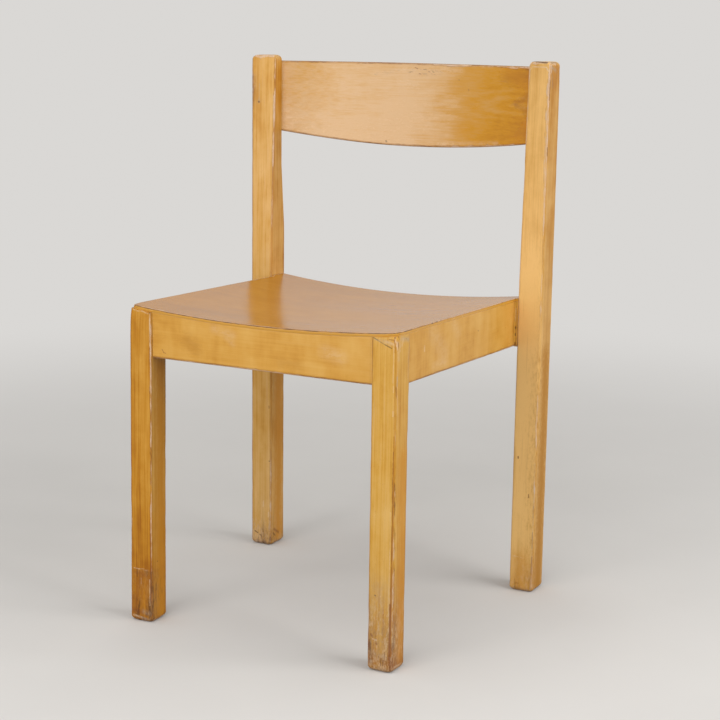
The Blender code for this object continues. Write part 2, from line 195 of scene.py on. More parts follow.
floor_finish, tree, shader, place = new_finish("pale_floor")
shader.inputs["Roughness"].default_value = 0.9
shader.inputs["Specular IOR Level"].default_value = 0.0
mottle = node(tree, "ShaderNodeTexNoise", {"Vector": place, "Scale": 3.0, "Detail": 4.0})
mottling = Reading(tree, mottle.outputs["Fac"])
paint = mixed(tree, mottling.ramp(0.3, 0.7), FLOOR_COLOUR, tuple(c * 1.03 for c in FLOOR_COLOUR))
feed(tree, shader.inputs["Base Color"], mixed(tree, seen_directly(tree), FLOOR_BOUNCE, paint))
away = vector_reading(tree, "LENGTH", {0: place})
glow = node(tree, "ShaderNodeEmission", {"Color": BACKDROP, "Strength": 1.0})
blend = node(tree, "ShaderNodeMixShader", {0: away.ramp(0.55, 2.4) * seen_directly(tree)})
tree.links.new(shader.outputs[0], blend.inputs[1])
tree.links.new(glow.outputs[0], blend.inputs[2])
tree.links.new(blend.outputs[0], tree.nodes["Material Output"].inputs["Surface"])

ground = bmesh.new()
bmesh.ops.create_circle(ground, cap_ends=True, segments=96, radius=FLOOR_REACH)
floor_mesh = bpy.data.meshes.new("floor")
ground.to_mesh(floor_mesh)
ground.free()
floor_mesh.materials.append(floor_finish)
floor = bpy.data.objects.new("floor", floor_mesh)
bpy.context.scene.collection.objects.link(floor)


def soft_panel(name, centre, aim, width, height, power, mirrored=True):
    """A rectangular soft lamp that faces a point. It isn't seen, and gloss shows it only where
    it is mirrored.
    """
    data = bpy.data.lights.new(name, "AREA")
    data.shape = "RECTANGLE"
    data.size, data.size_y = width, height
    data.energy = power
    lamp = bpy.data.objects.new(name, data)
    facing = (Vector(aim) - Vector(centre)).to_track_quat("-Z", "Y")
    lamp.matrix_world = Matrix.Translation(centre) @ facing.to_matrix().to_4x4()
    lamp.visible_camera = False
    lamp.visible_glossy = mirrored
    bpy.context.scene.collection.objects.link(lamp)


soft_panel("front_panel", (0.05, -2.5, 1.3), (0.0, 0.0, 0.7), 2.4, 2.4, 42.5, mirrored=False)
soft_panel("low_panel", (-0.62, -2.25, 0.42), (0.0, 0.2, 0.55), 1.45, 0.7, 5.5)
soft_panel("side_panel", (2.7, 0.0, 1.40), (0.0, 0.0, 0.4), 2.0, 2.0, 52.0, mirrored=False)
soft_panel("top_panel", (-0.3, -0.4, 3.0), (0.0, 0.0, 0.0), 2.4, 2.4, 14.0)


# Front legs. Two straight beech legs, 36 mm square, with rounded arrises. They splay a
# little at the feet and stop under the seat panel. Both are worn pale along their arrises
# and scuffed and stained at the feet.
FRONT = -0.2217
LEG_IN, LEG_OUT = 0.170, 0.206
LEG_BACK = FRONT + 0.036
SPLAY = Vector((0.002, -0.005))
SPLAY_ENDS = 0.4645
SEAT_DEPTH = 0.418
FRAME_HALF = 0.205
SEAT_PLY = 0.005
SEAT_HEIGHT, SEAT_FALL = 0.4545, 0.0105
SEAT_HOLLOW, HOLLOW_GAIN = 0.0106, 0.0024
GAP = 0.0003
GLUE = 0.00005
ARC_STEPS = 6
SHARP_ANGLE = 38
FOOT_ROUND = 0.0066
FOOT_HEIGHTS = (0.0, 0.0002, 0.0006, 0.0012, 0.0020, 0.0029, 0.0039, 0.0050, 0.0062, 0.0072)
FOOT_WEAR = 0.0065
FOOT_CHIP = 0.0018
LEG_TOP = 0.4445
LOWEST = 0.00003
FLAT_SHARES = (0.05, 0.27, 0.5, 0.73, 0.95)

PALE_LACQUER = (0.70, 0.40, 0.100)
HONEY = (0.62, 0.315, 0.052)
AMBER = (0.50, 0.215, 0.018)
RUSSET = (0.33, 0.11, 0.010)
WORN_WOOD = (0.64, 0.47, 0.34)
EDGE_BROWN = (0.27, 0.085, 0.010)
STAIN = (0.21, 0.080, 0.022)
GRIME = (0.100, 0.040, 0.013)
HAZE = (0.50, 0.33, 0.215)
MARK_COLOURS = {
    "dark": (0.070, 0.026, 0.010),
    "specks": (0.17, 0.075, 0.022),
    "red": (0.20, 0.055, 0.018),
    "amber": (0.42, 0.18, 0.018),
    "orange": (0.56, 0.225, 0.010),
    "pale": (0.76, 0.57, 0.38),
    "grey": (0.40, 0.33, 0.25),
}


def seat_top(x, y):
    """Height of the seat's upper face: hollow across, and falling to the back."""
    along = (y - FRONT) / SEAT_DEPTH
    edge = SEAT_HEIGHT - SEAT_FALL * along
    hollow = SEAT_HOLLOW + HOLLOW_GAIN * along
    return edge - hollow * (1 - (x / FRAME_HALF) ** 2)


def under_seat(x, y):
    return seat_top(x, y) - SEAT_PLY - GLUE


def squared_ring(low, high, radii):
    """The points round a rectangle whose four corners are rounded, each by its own radius."""
    points = []
    signs = ((-1, -1), (1, -1), (1, 1), (-1, 1))
    for corner, (sa, sb) in enumerate(signs):
        r = radii[corner]
        centre = (
            (high[0] if sa > 0 else low[0]) - sa * r,
            (high[1] if sb > 0 else low[1]) - sb * r,
        )
        for step in range(ARC_STEPS + 1):
            angle = pi + pi / 2 * (corner + step / ARC_STEPS)
            points.append((centre[0] + r * cos(angle), centre[1] + r * sin(angle)))
    whole = []
    for corner in range(4):
        arc = points[corner * (ARC_STEPS + 1) : (corner + 1) * (ARC_STEPS + 1)]
        after = points[(corner + 1) * (ARC_STEPS + 1) % len(points)]
        whole += arc
        for share in FLAT_SHARES:
            whole.append(tuple(a + (b - a) * share for a, b in zip(arc[-1], after)))
    return whole


def loft(name, rings):
    """A closed skin over rings of points, with both ends filled in towards the middle."""
    shape = bmesh.new()
    rows = [[shape.verts.new(point) for point in ring] for ring in rings]
    count = len(rings[0])
    for end in (0, -1):
        middle = sum((Vector(p) for p in rings[end]), Vector()) / count
        previous = rows[end]
        for share in (0.75, 0.4):
            inner = [shape.verts.new(middle.lerp(Vector(p), share)) for p in rings[end]]
            for i in range(count):
                j = (i + 1) % count
                shape.faces.new((previous[i], previous[j], inner[j], inner[i]))
            previous = inner
        hub = shape.verts.new(middle)
        for i in range(count):
            shape.faces.new((previous[i], previous[(i + 1) % count], hub))
    for lower, upper in zip(rows, rows[1:]):
        for i in range(count):
            j = (i + 1) % count
            shape.faces.new((lower[i], lower[j], upper[j], upper[i]))
    bmesh.ops.recalc_face_normals(shape, faces=shape.faces)
    mesh = bpy.data.meshes.new(name)
    shape.to_mesh(mesh)
    shape.free()
    return mesh


def spaced(first, last, step):
    count = max(1, round(abs(last - first) / step))
    return [first + (last - first) * i / count for i in range(count + 1)]


def fine_noise(point, scale, shift=0.0):
    return noise.noise(Vector(point) * scale + Vector((shift, shift * 0.7, -shift)))


def weather(mesh, bounds, wear, dirt, seed, dent=0.0006, ends=()):
    """Dents and unevens a piece, and stores its worn width and its dirt at every point.

    bounds gives the section (a, b, a0, a1, b0, b1) at a point. wear gives the width of the
    worn band along the nearest arris, and dirt how stained the wood is; at a rail's ends it also
    paints the shade in the joints. ends are the heights of cut ends, each with the worn width
    along its edge.
    """
    normals = [Vector(v.normal) for v in mesh.vertices]
    rows = {"arris": [], "wear": [], "dirt": []}
    for vertex, normal in zip(mesh.vertices, normals):
        at = Vector(vertex.co)
        a, b, a0, a1, b0, b1 = bounds(at)
        reach = [
            hypot(a - a0, b - b0),
            hypot(a - a1, b - b0),
            hypot(a - a1, b - b1),
            hypot(a - a0, b - b1),
        ]
        corner = reach.index(min(reach))
        from_a = abs(a - (a1 if corner in (1, 2) else a0))
        from_b = abs(b - (b1 if corner in (2, 3) else b0))
        on_face = from_a / max(from_a + from_b, 1e-6)
        nearest, band = reach[corner], wear(at, corner, on_face)
        inwards = min(abs(a - a0), abs(a - a1), abs(b - b0), abs(b - b1))
        for height, width in ends:
            from_end = hypot(inwards, at.z - height)
            if from_end < nearest:
                nearest, band = from_end, width
        rows["arris"].append(nearest)
        rows["wear"].append(band)
        rows["dirt"].append(dirt(at, corner))
        move = 0.00010 * fine_noise(at, 11, seed) + 0.00003 * fine_noise(at, 45, seed)
        knock = fine_noise((at.x * 60, at.y * 60, at.z * 38), 1.0, seed + 9) - 0.12
        if knock > 0 and dent:
            near = max(0.0, 1 - reach[corner] / 0.005)
            move -= dent * knock * near * (1 + 2.0 * min(band, 0.004) / 0.004)
        vertex.co = at + normal * move
        vertex.co.z = max(vertex.co.z, LOWEST)
    for name, values in rows.items():
        layer = mesh.attributes.new(name, "FLOAT", "POINT")
        layer.data.foreach_set("value", values)


def show(name, mesh, finish, slot, *nodes):
    """Puts a finished mesh in the scene as a piece of the chair, in place of its nodes."""
    mesh.materials.clear()
    mesh.materials.append(finish)
    mesh.shade_smooth()
    mesh.set_sharp_from_angle(angle=radians(SHARP_ANGLE))
    made = bpy.data.objects.new(name, mesh)
    bpy.context.scene.collection.objects.link(made)
    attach(made, "root")
    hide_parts(*nodes)
    return made


def pattern(tree, place, across, along, grain, detail=2.0, roughness=0.5, shift=0.0):
    """Noise drawn out along the grain, as a number from 0 to 1."""
    sizes = [across, across, across]
    sizes["XYZ".index(grain)] = along
    mapping = node(
        tree,
        "ShaderNodeMapping",
        {"Vector": place, "Scale": tuple(sizes), "Location": (shift, shift * 1.7, -shift)},
    )
    made = node(
        tree,
        "ShaderNodeTexNoise",
        {"Vector": mapping.outputs[0], "Scale": 1.0, "Detail": detail, "Roughness": roughness},
    )
    return Reading(tree, made.outputs["Fac"])


def measure(tree, name):
    """A number that the mesh carries at every point."""
    made = node(tree, "ShaderNodeAttribute", attribute_name=name)
    return Reading(tree, made.outputs["Fac"])


def roughen(tree, shader, height, strength, distance):
    """Makes a surface uneven by a height, with a bump of so many metres."""
    inputs = {"Height": height, "Strength": strength, "Distance": distance}
    feed(tree, shader.inputs["Normal"], node(tree, "ShaderNodeBump", inputs).outputs[0])


def placed(table):
    """Reads marks, one a line: kind, x y z of the start and of the end, width, and strength.

    Places and widths are in millimetres.
    """
    marks = []
    for line in table.strip().splitlines():
        kind, *numbers = line.split()
        *lengths, strength = map(float, numbers)
        x0, y0, z0, x1, y1, z1, width = (length / 1000 for length in lengths)
        marks.append((kind, (x0, y0, z0), (x1, y1, z1), width, strength))
    return marks


FINE_STROKE = 0.0022


def stroke(tree, place, start, end, width, rough_edge):
    """1 on an uneven line or spot from one point to another, and 0 away from it. A fine one has
    a firm edge, and a wide one fades out.
    """
    way = Vector(end) - Vector(start)
    step = way / max(way.length_squared, 1e-12)
    moved = node(tree, "ShaderNodeVectorMath", {0: place, 1: start}, operation="SUBTRACT")
    moved = moved.outputs[0]
    along = vector_reading(tree, "DOT_PRODUCT", {0: moved, 1: tuple(step)})
    along = along.at_least(0.0).at_most(1.0)
    near = node(tree, "ShaderNodeVectorMath", {0: tuple(way), "Scale": along}, operation="SCALE")
    reach = vector_reading(tree, "DISTANCE", {0: moved, 1: near.outputs[0]}) / width + rough_edge
    return 1.0 - (reach.ramp(0.55, 1.05) if width < FINE_STROKE else reach.ramp(-0.1, 1.0))


def lacquered(
    name, grain, seed, tones=(AMBER, HONEY, PALE_LACQUER), tone=0.5, contrast=1.0, gloss=0.30,
    shine=0.26, lines=1.0, cross=0.0, figure=None, marks=(), shading=(), edge_shade=0.5,
    rim_dirt=0.62, scrapes=0.6, deep=RUSSET, stain_colour=STAIN, haze_colour=HAZE,
    scrape_colour=WORN_WOOD,
):
    """Beech under an old clear lacquer: honey-coloured, finely streaked and satin, painted
    darker along its arrises as shade on their rounding, worn there to pale bare wood with a line
    of dirt beside it, and stained where it has been kicked.

    The mesh gives "arris", the distance to the nearest arris, "wear", the width of the worn
    band there, and "dirt". figure is (centre, stretch, spacing, strength, reach) of a set of
    growth rings, marks are (kind, start, end, width, strength), and shading is
    (axis, from, to, change of tone): ramps of tone that mostly paint in light and shade, and here
    and there a darker stretch of the wood.
    """
    made, tree, shader, place = new_finish(name)

    def texture(across, along, detail, roughness, shift, way=grain):
        return pattern(tree, place, across, along, way, detail, roughness, seed + shift)

    cloud = texture(12, 3.2, 3.0, 0.55, 0)
    blotch = texture(32, 24, 3.0, 0.6, 2)
    streak = texture(150, 4.5, 3.0, 0.6, 3)
    line = texture(460, 7, 2.0, 0.6, 5)
    ray = texture(1500, 260, 1.0, 0.5, 7)
    amount = (
        tone
        + (cloud - 0.5) * (0.70 * contrast)
        + (blotch - 0.5) * (0.55 * contrast)
        + (streak - 0.5) * (0.50 * contrast * lines)
        + (line - 0.5) * (1.00 * contrast * lines)
    )
    if cross:
        amount = amount + (texture(70, 9, 3.0, 0.6, 33, way="Z") - 0.5) * cross
    if figure:
        centre, stretch, spacing, strength, limit = figure
        across = [1.0, 1.0, 1.0]
        across["XYZ".index(grain)] = stretch
        bend = texture(16, 5, 2.0, 0.5, 11)
        moved = tuple(-c * s for c, s in zip(centre, across))
        from_centre = node(
            tree, "ShaderNodeMapping", {"Vector": place, "Location": moved, "Scale": tuple(across)}
        )
        length = vector_reading(tree, "LENGTH", {0: from_centre.outputs[0]})
        reach = length + (bend - 0.5) * (spacing * 2.2)
        ring = calc(tree, "SINE", reach * (2 * pi / spacing))
        amount = amount + ring * (1.0 - reach.ramp(limit * 0.4, limit)) * strength
    axes = dict(zip("XYZ", parts(tree, place)))
    # Tone ramps along an axis. Most are painted light and shade: a face darker where it turns from
    # the light, a part darker towards the floor, or lighter where the chair's own shadow falls on
    # it.
    for axis, start, end, change in shading:
        amount = amount + axes[axis].ramp(start, end) * change
    ramp = node(tree, "ShaderNodeValToRGB", {0: amount})
    stops = ramp.color_ramp.elements
    stops.remove(stops[1])
    stops[0].color = (*deep, 1.0)
    for position, stop_colour in zip((0.25, 0.50, 0.80), tones):
        stops.new(position).color = (*stop_colour, 1.0)
    flecks = ray.ramp(0.62, 0.72)
    pores = line.ramp(0.60, 0.74)
    colour = mixed(tree, (flecks * 0.20 + pores * 0.28) * lines, ramp.outputs[0], deep)

    arris, wear, dirt = (measure(tree, layer) for layer in ("arris", "wear", "dirt"))
    broken = texture(260, 60, 3.0, 0.65, 13)
    patch = texture(42, 16, 2.0, 0.5, 17)
    speck = texture(320, 110, 4.0, 0.7, 19)
    smear = texture(70, 10, 3.0, 0.6, 23)
    # Painted shade: darker along the arrises, as on the rounding where it turns from the light.
    shade = (1.0 - arris.ramp(0.0013, 0.0040)) * edge_shade * (0.45 + patch * 0.9)
    colour = mixed(tree, shade, colour, EDGE_BROWN)
    width = wear * (0.68 + (broken - 0.5) * 1.4 + (patch - 0.5) * 1.9)
    past = arris - width
    worn = (1.0 - past.ramp(-0.0006, 0.0003)) * wear.ramp(0.0002, 0.0006)
    worn = worn * (0.22 + line.ramp(0.38, 0.60) * 0.40 + speck.ramp(0.40, 0.58) * 0.30)
    colour = mixed(tree, worn, colour, WORN_WOOD)
    rim = past.ramp(-0.0003, 0.0002) * (1.0 - past.ramp(0.0006, 0.0013)) * wear.ramp(0.0012, 0.0022)
    rim = rim * (smear + (broken - 0.5) * 0.8).ramp(0.40, 0.56)
    colour = mixed(tree, rim * rim_dirt, colour, STAIN)

    scuffs = texture(330, 120, 4.0, 0.7, 27)
    hazy = dirt.ramp(0.10, 0.70) * (smear * 0.5 + patch * 0.5).ramp(0.36, 0.60) * (scrapes * 0.55)
    colour = mixed(tree, hazy, colour, haze_colour)
    stained = dirt * (0.22 + smear.ramp(0.38, 0.64) * 0.55 + speck.ramp(0.50, 0.66) * 0.5)
    colour = mixed(tree, stained.at_most(0.9), colour, stain_colour)
    dark = dirt.ramp(0.15, 0.8) * (broken * 0.6 + smear * 0.5).ramp(0.56, 0.68) * 0.8
    colour = mixed(tree, dark, colour, GRIME)
    scraped = dirt.ramp(0.08, 0.40) * (scuffs * 0.7 + patch * 0.3).ramp(0.47, 0.62) * scrapes
    colour = mixed(tree, scraped, colour, scrape_colour)
    soiled = stained.at_least(dark).at_least(rim * 0.6).at_most(0.9)

    uneven = (speck - 0.5) * 1.3 + (scuffs - 0.5) * 0.5
    dull = worn * 0.30 + soiled * 0.15 + scraped * 0.2
    for kind, start, end, size, strength in marks:
        there = stroke(tree, place, start, end, size, uneven) * strength
        if kind == "specks":
            there = there * speck.ramp(0.53, 0.62)
        elif kind in ("pale", "grey"):
            there = there * (0.30 + speck.ramp(0.42, 0.56) * 0.70)
        colour = mixed(tree, there, colour, MARK_COLOURS[kind])
        dull = dull + there * 0.12
    feed(tree, shader.inputs["Base Color"], colour)
    sheen = gloss + (cloud - 0.5) * 0.10 + (speck - 0.5) * 0.10 + dull
    feed(tree, shader.inputs["Roughness"], sheen.at_least(0.08).at_most(0.85))
    shader.inputs["IOR"].default_value = 1.5
    shader.inputs["Specular IOR Level"].default_value = shine
    height = (
        line * 0.6 + streak * 0.5 - flecks * 0.4 - pores * 0.3
        - worn * 0.9 - dark * 0.5 - scraped * 0.8 + speck * 0.25
    )
    roughen(tree, shader, height, 0.35, 0.00012)
    return made


def foot_round(height):
    """How far the faces draw in near the floor, where the foot's edges are rounded off."""
    share = max(0.0, 1 - height / FOOT_ROUND)
    return FOOT_ROUND * 0.9 * (1 - sqrt(max(0.0, 1 - share * share)))


def worn_foot(points, centre, half, height, seed):
    """Draws a ring of points in by uneven amounts, and chips it, where it is near the floor."""
    pull = foot_round(height)
    chip_depth = FOOT_CHIP * max(0.0, 1 - height / 0.007)
    moved = []
    for x, y, z in points:
        rough = fine_noise((x * 48, y * 48, seed), 1.0)
        share = 1 - pull * (1 + 0.45 * rough) / half
        chip = chip_depth * max(0.0, fine_noise((x * 60, y * 60, seed + 4), 1.0))
        x, y = (c + (p - c) * share for p, c in zip((x, y), centre))
        moved.append(Vector((x, y, z + chip)))
    return moved


def arris_wear(bands):
    """The worn width along each corner, from its (front, beside) pair of banded widths."""
    def width(at, corner, on_face):
        front, beside = bands[corner]
        return front(at.z) * on_face + beside(at.z) * (1 - on_face)
    return width


def front_leg(side, wear_bands, seed, stain, arris, top_round, **finish):
    """One front leg. side is 1 for the right one, -1 for the left one. arris is the radius of
    its outer front arris, which grows by top_round under the seat.
    """
    name = "front_right_leg" if side > 0 else "front_left_leg"
    edges = sorted((side * LEG_IN, side * LEG_OUT))
    outer_front, outer_back, inner_front = (1, 2, 0) if side > 0 else (0, 3, 1)

    def splay(height):
        share = 1 - height / SPLAY_ENDS
        return side * SPLAY.x * share, SPLAY.y * share

    heights = list(FOOT_HEIGHTS) + spaced(0.0090, 0.428, 0.0033)
    shares = [h / LEG_TOP for h in heights]
    shares += [0.970, 0.976, 0.982, 0.988, 0.993, 0.9965, 0.9985, 0.9995, 1.0]
    rings = []
    for share in shares:
        nominal = share * LEG_TOP
        below = (1 - share) * LEG_TOP
        end = max(0.0, 1 - below / 0.0012)
        pull_top = 0.0001 * (1 - sqrt(max(0.0, 1 - end * end)))
        lean = max(0.0, 1 - below / 0.022) ** 2
        dx, dy = splay(nominal)
        low = [edges[0] + dx, FRONT + dy]
        high = [edges[1] + dx, LEG_BACK + dy]
        round_over = 0.0006 * lean
        if side > 0:
            high[0] -= round_over
        else:
            low[0] += round_over
        low[1] += round_over
        radii = []
        for corner in range(4):
            radius = {outer_front: arris, inner_front: 0.0024}.get(corner, 0.0022)
            if corner == outer_back:
                radius = 0.0007 + 0.0010 * min(1.0, max(0.0, (0.376 - nominal) / 0.012))
            wobble = fine_noise((corner * 3.1, seed, nominal * 22), 1.0)
            radius *= 1 + 0.22 * wobble
            if corner == outer_front:
                radius += top_round * lean
            radii.append(radius + foot_round(nominal) * 0.9)
        ring = squared_ring(
            (low[0] + pull_top, low[1] + pull_top), (high[0] - pull_top, high[1] - pull_top), radii
        )
        points = [Vector((x, y, share * under_seat(x, y))) for x, y in ring]
        middle = ((low[0] + high[0]) / 2, (low[1] + high[1]) / 2)
        rings.append(worn_foot(points, middle, 0.018, nominal, seed))
    mesh = loft(name, rings)

    def bounds(at):
        dx, dy = splay(at.z)
        return at.x, at.y, edges[0] + dx, edges[1] + dx, FRONT + dy, LEG_BACK + dy

    def dirt(at, corner):
        return min(1.0, stain(at.z) + (0.5 if at.z < 0.0012 else 0.0))

    weather(mesh, bounds, arris_wear(wear_bands), dirt, seed, ends=((0.0, FOOT_WEAR),))
    return show(name, mesh, lacquered(name, "Z", seed, **finish), "lacquered_beech", name)


def banded(*bands):
    """A worn width that changes with height, from (height, width) pairs in rising order."""
    def width(height):
        for (z0, w0), (z1, w1) in zip(bands, bands[1:]):
            if height <= z1:
                return w0 + (w1 - w0) * max(0.0, (height - z0) / (z1 - z0))
        return bands[-1][1]
    return width


thin = banded((0.0, 0.0018), (0.5, 0.0016))
none = banded((0.0, 0.0009), (0.8, 0.0009))
front_leg(
    -1,
    {
        0: (thin, none),
        1: (
            banded((0.0, 0.0018), (0.07, 0.0018), (0.17, 0.0034), (0.26, 0.0028), (0.44, 0.0030)),
            banded((0.0, 0.0014), (0.12, 0.0018), (0.20, 0.0016), (0.44, 0.0012)),
        ),
        2: (none, none),
        3: (none, thin),
    },
    seed=2.0,
    arris=0.0027,
    top_round=0.0022,
    stain=banded(
        (0.0, 0.85), (0.015, 0.78), (0.05, 0.68), (0.076, 0.58), (0.079, 0.05), (0.20, 0.03),
        (0.22, 0.0),
    ),
    tone=0.04,
    lines=0.75,
    shine=0.17,
    scrapes=0.24,
    haze_colour=(0.44, 0.215, 0.050),
    scrape_colour=(0.52, 0.30, 0.11),
    deep=(0.34, 0.118, 0.009),
    stain_colour=(0.30, 0.105, 0.012),
    # Painted light and shade: the ramps make the leg darker towards the floor and its inner face
    # lighter, and the orange stroke down the inner face gives that face the deep orange it takes in
    # shade.
    shading=(("Z", 0.05, 0.22, 0.17), ("Z", 0.20, 0.43, 0.11), ("X", -0.1735, -0.1710, 0.26)),
    marks=placed("""
pale -202 -225.9 77.5 -193 -225.9 77.2 1 0.42
pale -193 -225.9 77.2 -185 -225.9 78.8 0.8 0.3
pale -186 -225.9 76.5 -178 -225.9 77.2 1.4 0.22
red -200 -225.9 72 -183 -225.9 70 5 0.3
red -192.5 -225.9 74 -192.5 -225.9 48 1.2 0.45
red -187 -225.9 70 -187 -225.9 40 1 0.35
grey -190 -226 64 -189.5 -226 56 1.4 0.3
red -174 -225.9 150 -173.2 -226.2 30 1 0.45
pale -175.2 -226 64 -175.2 -226.2 26 0.9 0.55
orange -185 -226 60 -185 -226.2 20 9 0.3
dark -196.5 -225.9 76.5 -196.5 -225.9 65 0.8 0.5
orange -171.2 -203 10 -170.4 -203 365 21 0.8
dark -173.5 -221.9 446 -173.5 -221.9 445 1.2 0.6
dark -171.2 -212 88 -171.2 -211 88 1.1 0.5
pale -204.5 -224 110 -204.5 -224.8 150 0.7 0.35
pale -203 -226.2 7.5 -190 -226.2 6 2 0.5
grey -190 -226.2 6 -176 -226.2 5 2.6 0.6
grey -186 -226.2 15 -176 -226.2 14 6 0.45
red -204 -226.2 15 -191 -226.2 14 6 0.45
red -206 -226.2 15 -204 -226.2 33 11 0.35
pale -172.7 -221.8 444 -172.5 -222 398 1.3 0.6
pale -201 -221.9 448 -192 -221.9 446.2 1 0.45
pale -192 -221.9 446.2 -186 -221.9 446.8 1 0.4
pale -186 -221.9 446.8 -176 -221.9 444 1.3 0.5
"""),
)
front_leg(
    1,
    {
        0: (banded((0.0, 0.0035), (0.08, 0.0028), (0.16, 0.0012), (0.44, 0.0012)), none),
        1: (
            banded(
                (0.0, 0.0024), (0.12, 0.0014), (0.30, 0.0016), (0.40, 0.0018), (0.425, 0.0020),
                (0.445, 0.0048),
            ),
            banded(
                (0.0, 0.0046), (0.10, 0.0042), (0.26, 0.0034), (0.32, 0.0022), (0.40, 0.0022),
                (0.445, 0.0064),
            ),
        ),
        2: (none, thin),
        3: (none, none),
    },
    seed=6.0,
    arris=0.0042,
    top_round=0.0050,
    stain=banded(
        (0.0, 0.95), (0.015, 0.90), (0.035, 0.70), (0.055, 0.48), (0.075, 0.30), (0.13, 0.12),
        (0.2, 0.0),
    ),
    scrapes=0.75,
    edge_shade=0.35,
    haze_colour=(0.42, 0.225, 0.095),
    stain_colour=(0.235, 0.092, 0.024),
    scrape_colour=(0.62, 0.42, 0.235),
    rim_dirt=0.80,
    shine=0.20,
    tones=(AMBER, (0.62, 0.33, 0.052), (0.70, 0.425, 0.125)),
    tone=0.28,
    # Painted shade: the ramps make the leg darker towards the floor and its outer face darker, and
    # the orange stroke down the outer face gives that face the deep orange it takes in shade. The
    # lowest ramp makes it darker still near the floor.
    shading=(("Z", 0.00, 0.05, 0.16), ("Z", 0.03, 0.26, 0.20), ("X", 0.2025, 0.2065, -0.15)),
    marks=placed("""
dark 170.8 -221.9 446.5 178 -221.9 443.2 1 0.7
dark 179 -221.9 442.6 188 -221.9 438.5 0.7 0.5
dark 189 -222 438.2 198.5 -222 434.5 0.9 0.65
grey 174 -221.9 444 180 -221.9 442.5 2.6 0.45
grey 183 -221.9 443 196 -221.9 440 5 0.45
pale 190 -221.9 442 201 -221.9 440 3.4 0.45
amber 203 -221.5 442.5 203.5 -221.5 430 1.5 0.7
pale 201.5 -222 440 201.4 -222.4 390 0.7 0.45
pale 205.8 -219 430 206.2 -219 330 0.9 0.5
amber 204 -221.8 428 204.8 -223.2 330 1.1 0.5
grey 205.8 -220 398 206 -220 386 1.3 0.6
pale 202.2 -222.9 386 202.2 -222.9 378 1 0.5
pale 202.2 -223.1 353 202.2 -223.1 347 1.2 0.6
orange 206.6 -201 12 206.2 -201 290 21 0.65
amber 204.6 -223.6 320 205.6 -225.4 120 1.8 0.75
amber 205.6 -225.4 120 206 -226.4 25 2.1 0.75
red 204 -223.6 300 205.2 -226.2 30 1 0.5
pale 201.8 -224 220 202.4 -226.2 50 0.7 0.45
red 170.5 -224 300 171.8 -225.6 30 1.1 0.6
red 202 -221.6 445 195 -221.6 445.5 1 0.45
pale 206.2 -216.5 446 206.3 -216.5 418 1 0.55
pale 206.2 -211 446 206.3 -213 430 1.4 0.45
grey 206.2 -208 445.5 206.2 -190 442 6 0.65
pale 206.2 -204 444 206.2 -208 437 3 0.55
dark 206.2 -196 444 206.2 -195 443 0.9 0.4
pale 206.3 -190.5 432 206.3 -190 390 0.7 0.45
dark 181.9 -225.6 104.6 182.2 -225.6 104.2 1.3 0.75
pale 189.5 -225.6 104.6 190 -225.6 104.4 1 0.35
red 177.2 -226 50 178.5 -226 48.5 2 0.6
pale 180 -226 44.5 185 -226 43.5 1.6 0.5
red 185 -226.1 39.5 185.8 -226.1 38 1.5 0.6
red 173 -226.2 42 174.5 -226.2 33 3 0.6
dark 192.5 -226.2 20 192.5 -226.2 9 0.8 0.8
dark 195.5 -226.2 18 195.5 -226.2 10 0.9 0.8
dark 197.5 -226.2 29 197.5 -226.2 17 0.6 0.6
dark 200.5 -226.2 23 200.5 -226.2 11 0.6 0.6
red 174 -226.2 18 203 -226.2 16 15 0.24
red 204.2 -225.8 95 204.6 -226.4 20 2 0.55
red 207.8 -218 10 207.8 -190 6 17 0.3
red 205 -226.2 15 206 -225 40 4 0.35
grey 187 -225.8 40 187 -225.2 115 34 0.26
grey 176 -226.2 8.5 199 -226.2 6.5 3 0.28
grey 177 -226.2 25 196 -226.2 23 7 0.3
grey 174 -226.2 14 179 -226.2 12 5 0.35
pale 207.8 -220 7.5 207.8 -195 5.5 1.8 0.4
"""),
)


# Back posts. Each is one beech bar, 37 by 40 mm, from the floor to the top. Above the seat
# its front face turns towards the sitter, and a rebate in its back takes the backrest.
POST_FRONT, POST_BACK = 0.1623, 0.2023
POST_IN, POST_OUT = 0.2098, 0.2468
POST_TOP = 0.786
SHAVE_START = 0.470
SHAVE_IN, SHAVE_LESS_OUT = 0.0125, 0.0117
REBATE_WIDE, REBATE_START = 0.0155, 0.617
TOP_ROUND_X, TOP_ROUND_Y = 0.008, 0.0035
TOP_STEPS = 9
TOP_WEAR = 0.0056
WORN_ROUND, PLAIN_ROUND = 0.0032, 0.0019


def post_front(side, x, z):
    """Y of a post's front face, which is shaved back above the seat, most at its inner side."""
    across = min(1.0, max(0.0, (abs(x) - POST_IN) / (POST_OUT - POST_IN)))
    rise = max(0.0, z - SHAVE_START) / (POST_TOP - SHAVE_START)
    return POST_FRONT + rise * (SHAVE_IN - SHAVE_LESS_OUT * across)


def rebate_floor(x, z):
    """Y of the rebate's floor, which follows the backrest and runs out below it."""
    return 0.1922 - 0.2383 * (abs(x) - POST_IN) + 0.0885 * max(0.0, REBATE_START - z)


def cut(mesh, tool_mesh):
    """Takes one closed mesh out of another, and returns what is left."""
    tool = bpy.data.objects.new("tool", tool_mesh)
    body = bpy.data.objects.new("body", mesh)
    for made in (tool, body):
        bpy.context.scene.collection.objects.link(made)
    boolean = body.modifiers.new("cut", "BOOLEAN")
    boolean.operation = "DIFFERENCE"
    boolean.solver = "EXACT"
    boolean.object = tool
    graph = bpy.context.evaluated_depsgraph_get()
    left = bpy.data.meshes.new_from_object(body.evaluated_get(graph))
    left.name = mesh.name
    for done in (tool, body):
        bpy.data.objects.remove(done, do_unlink=True)
    return left


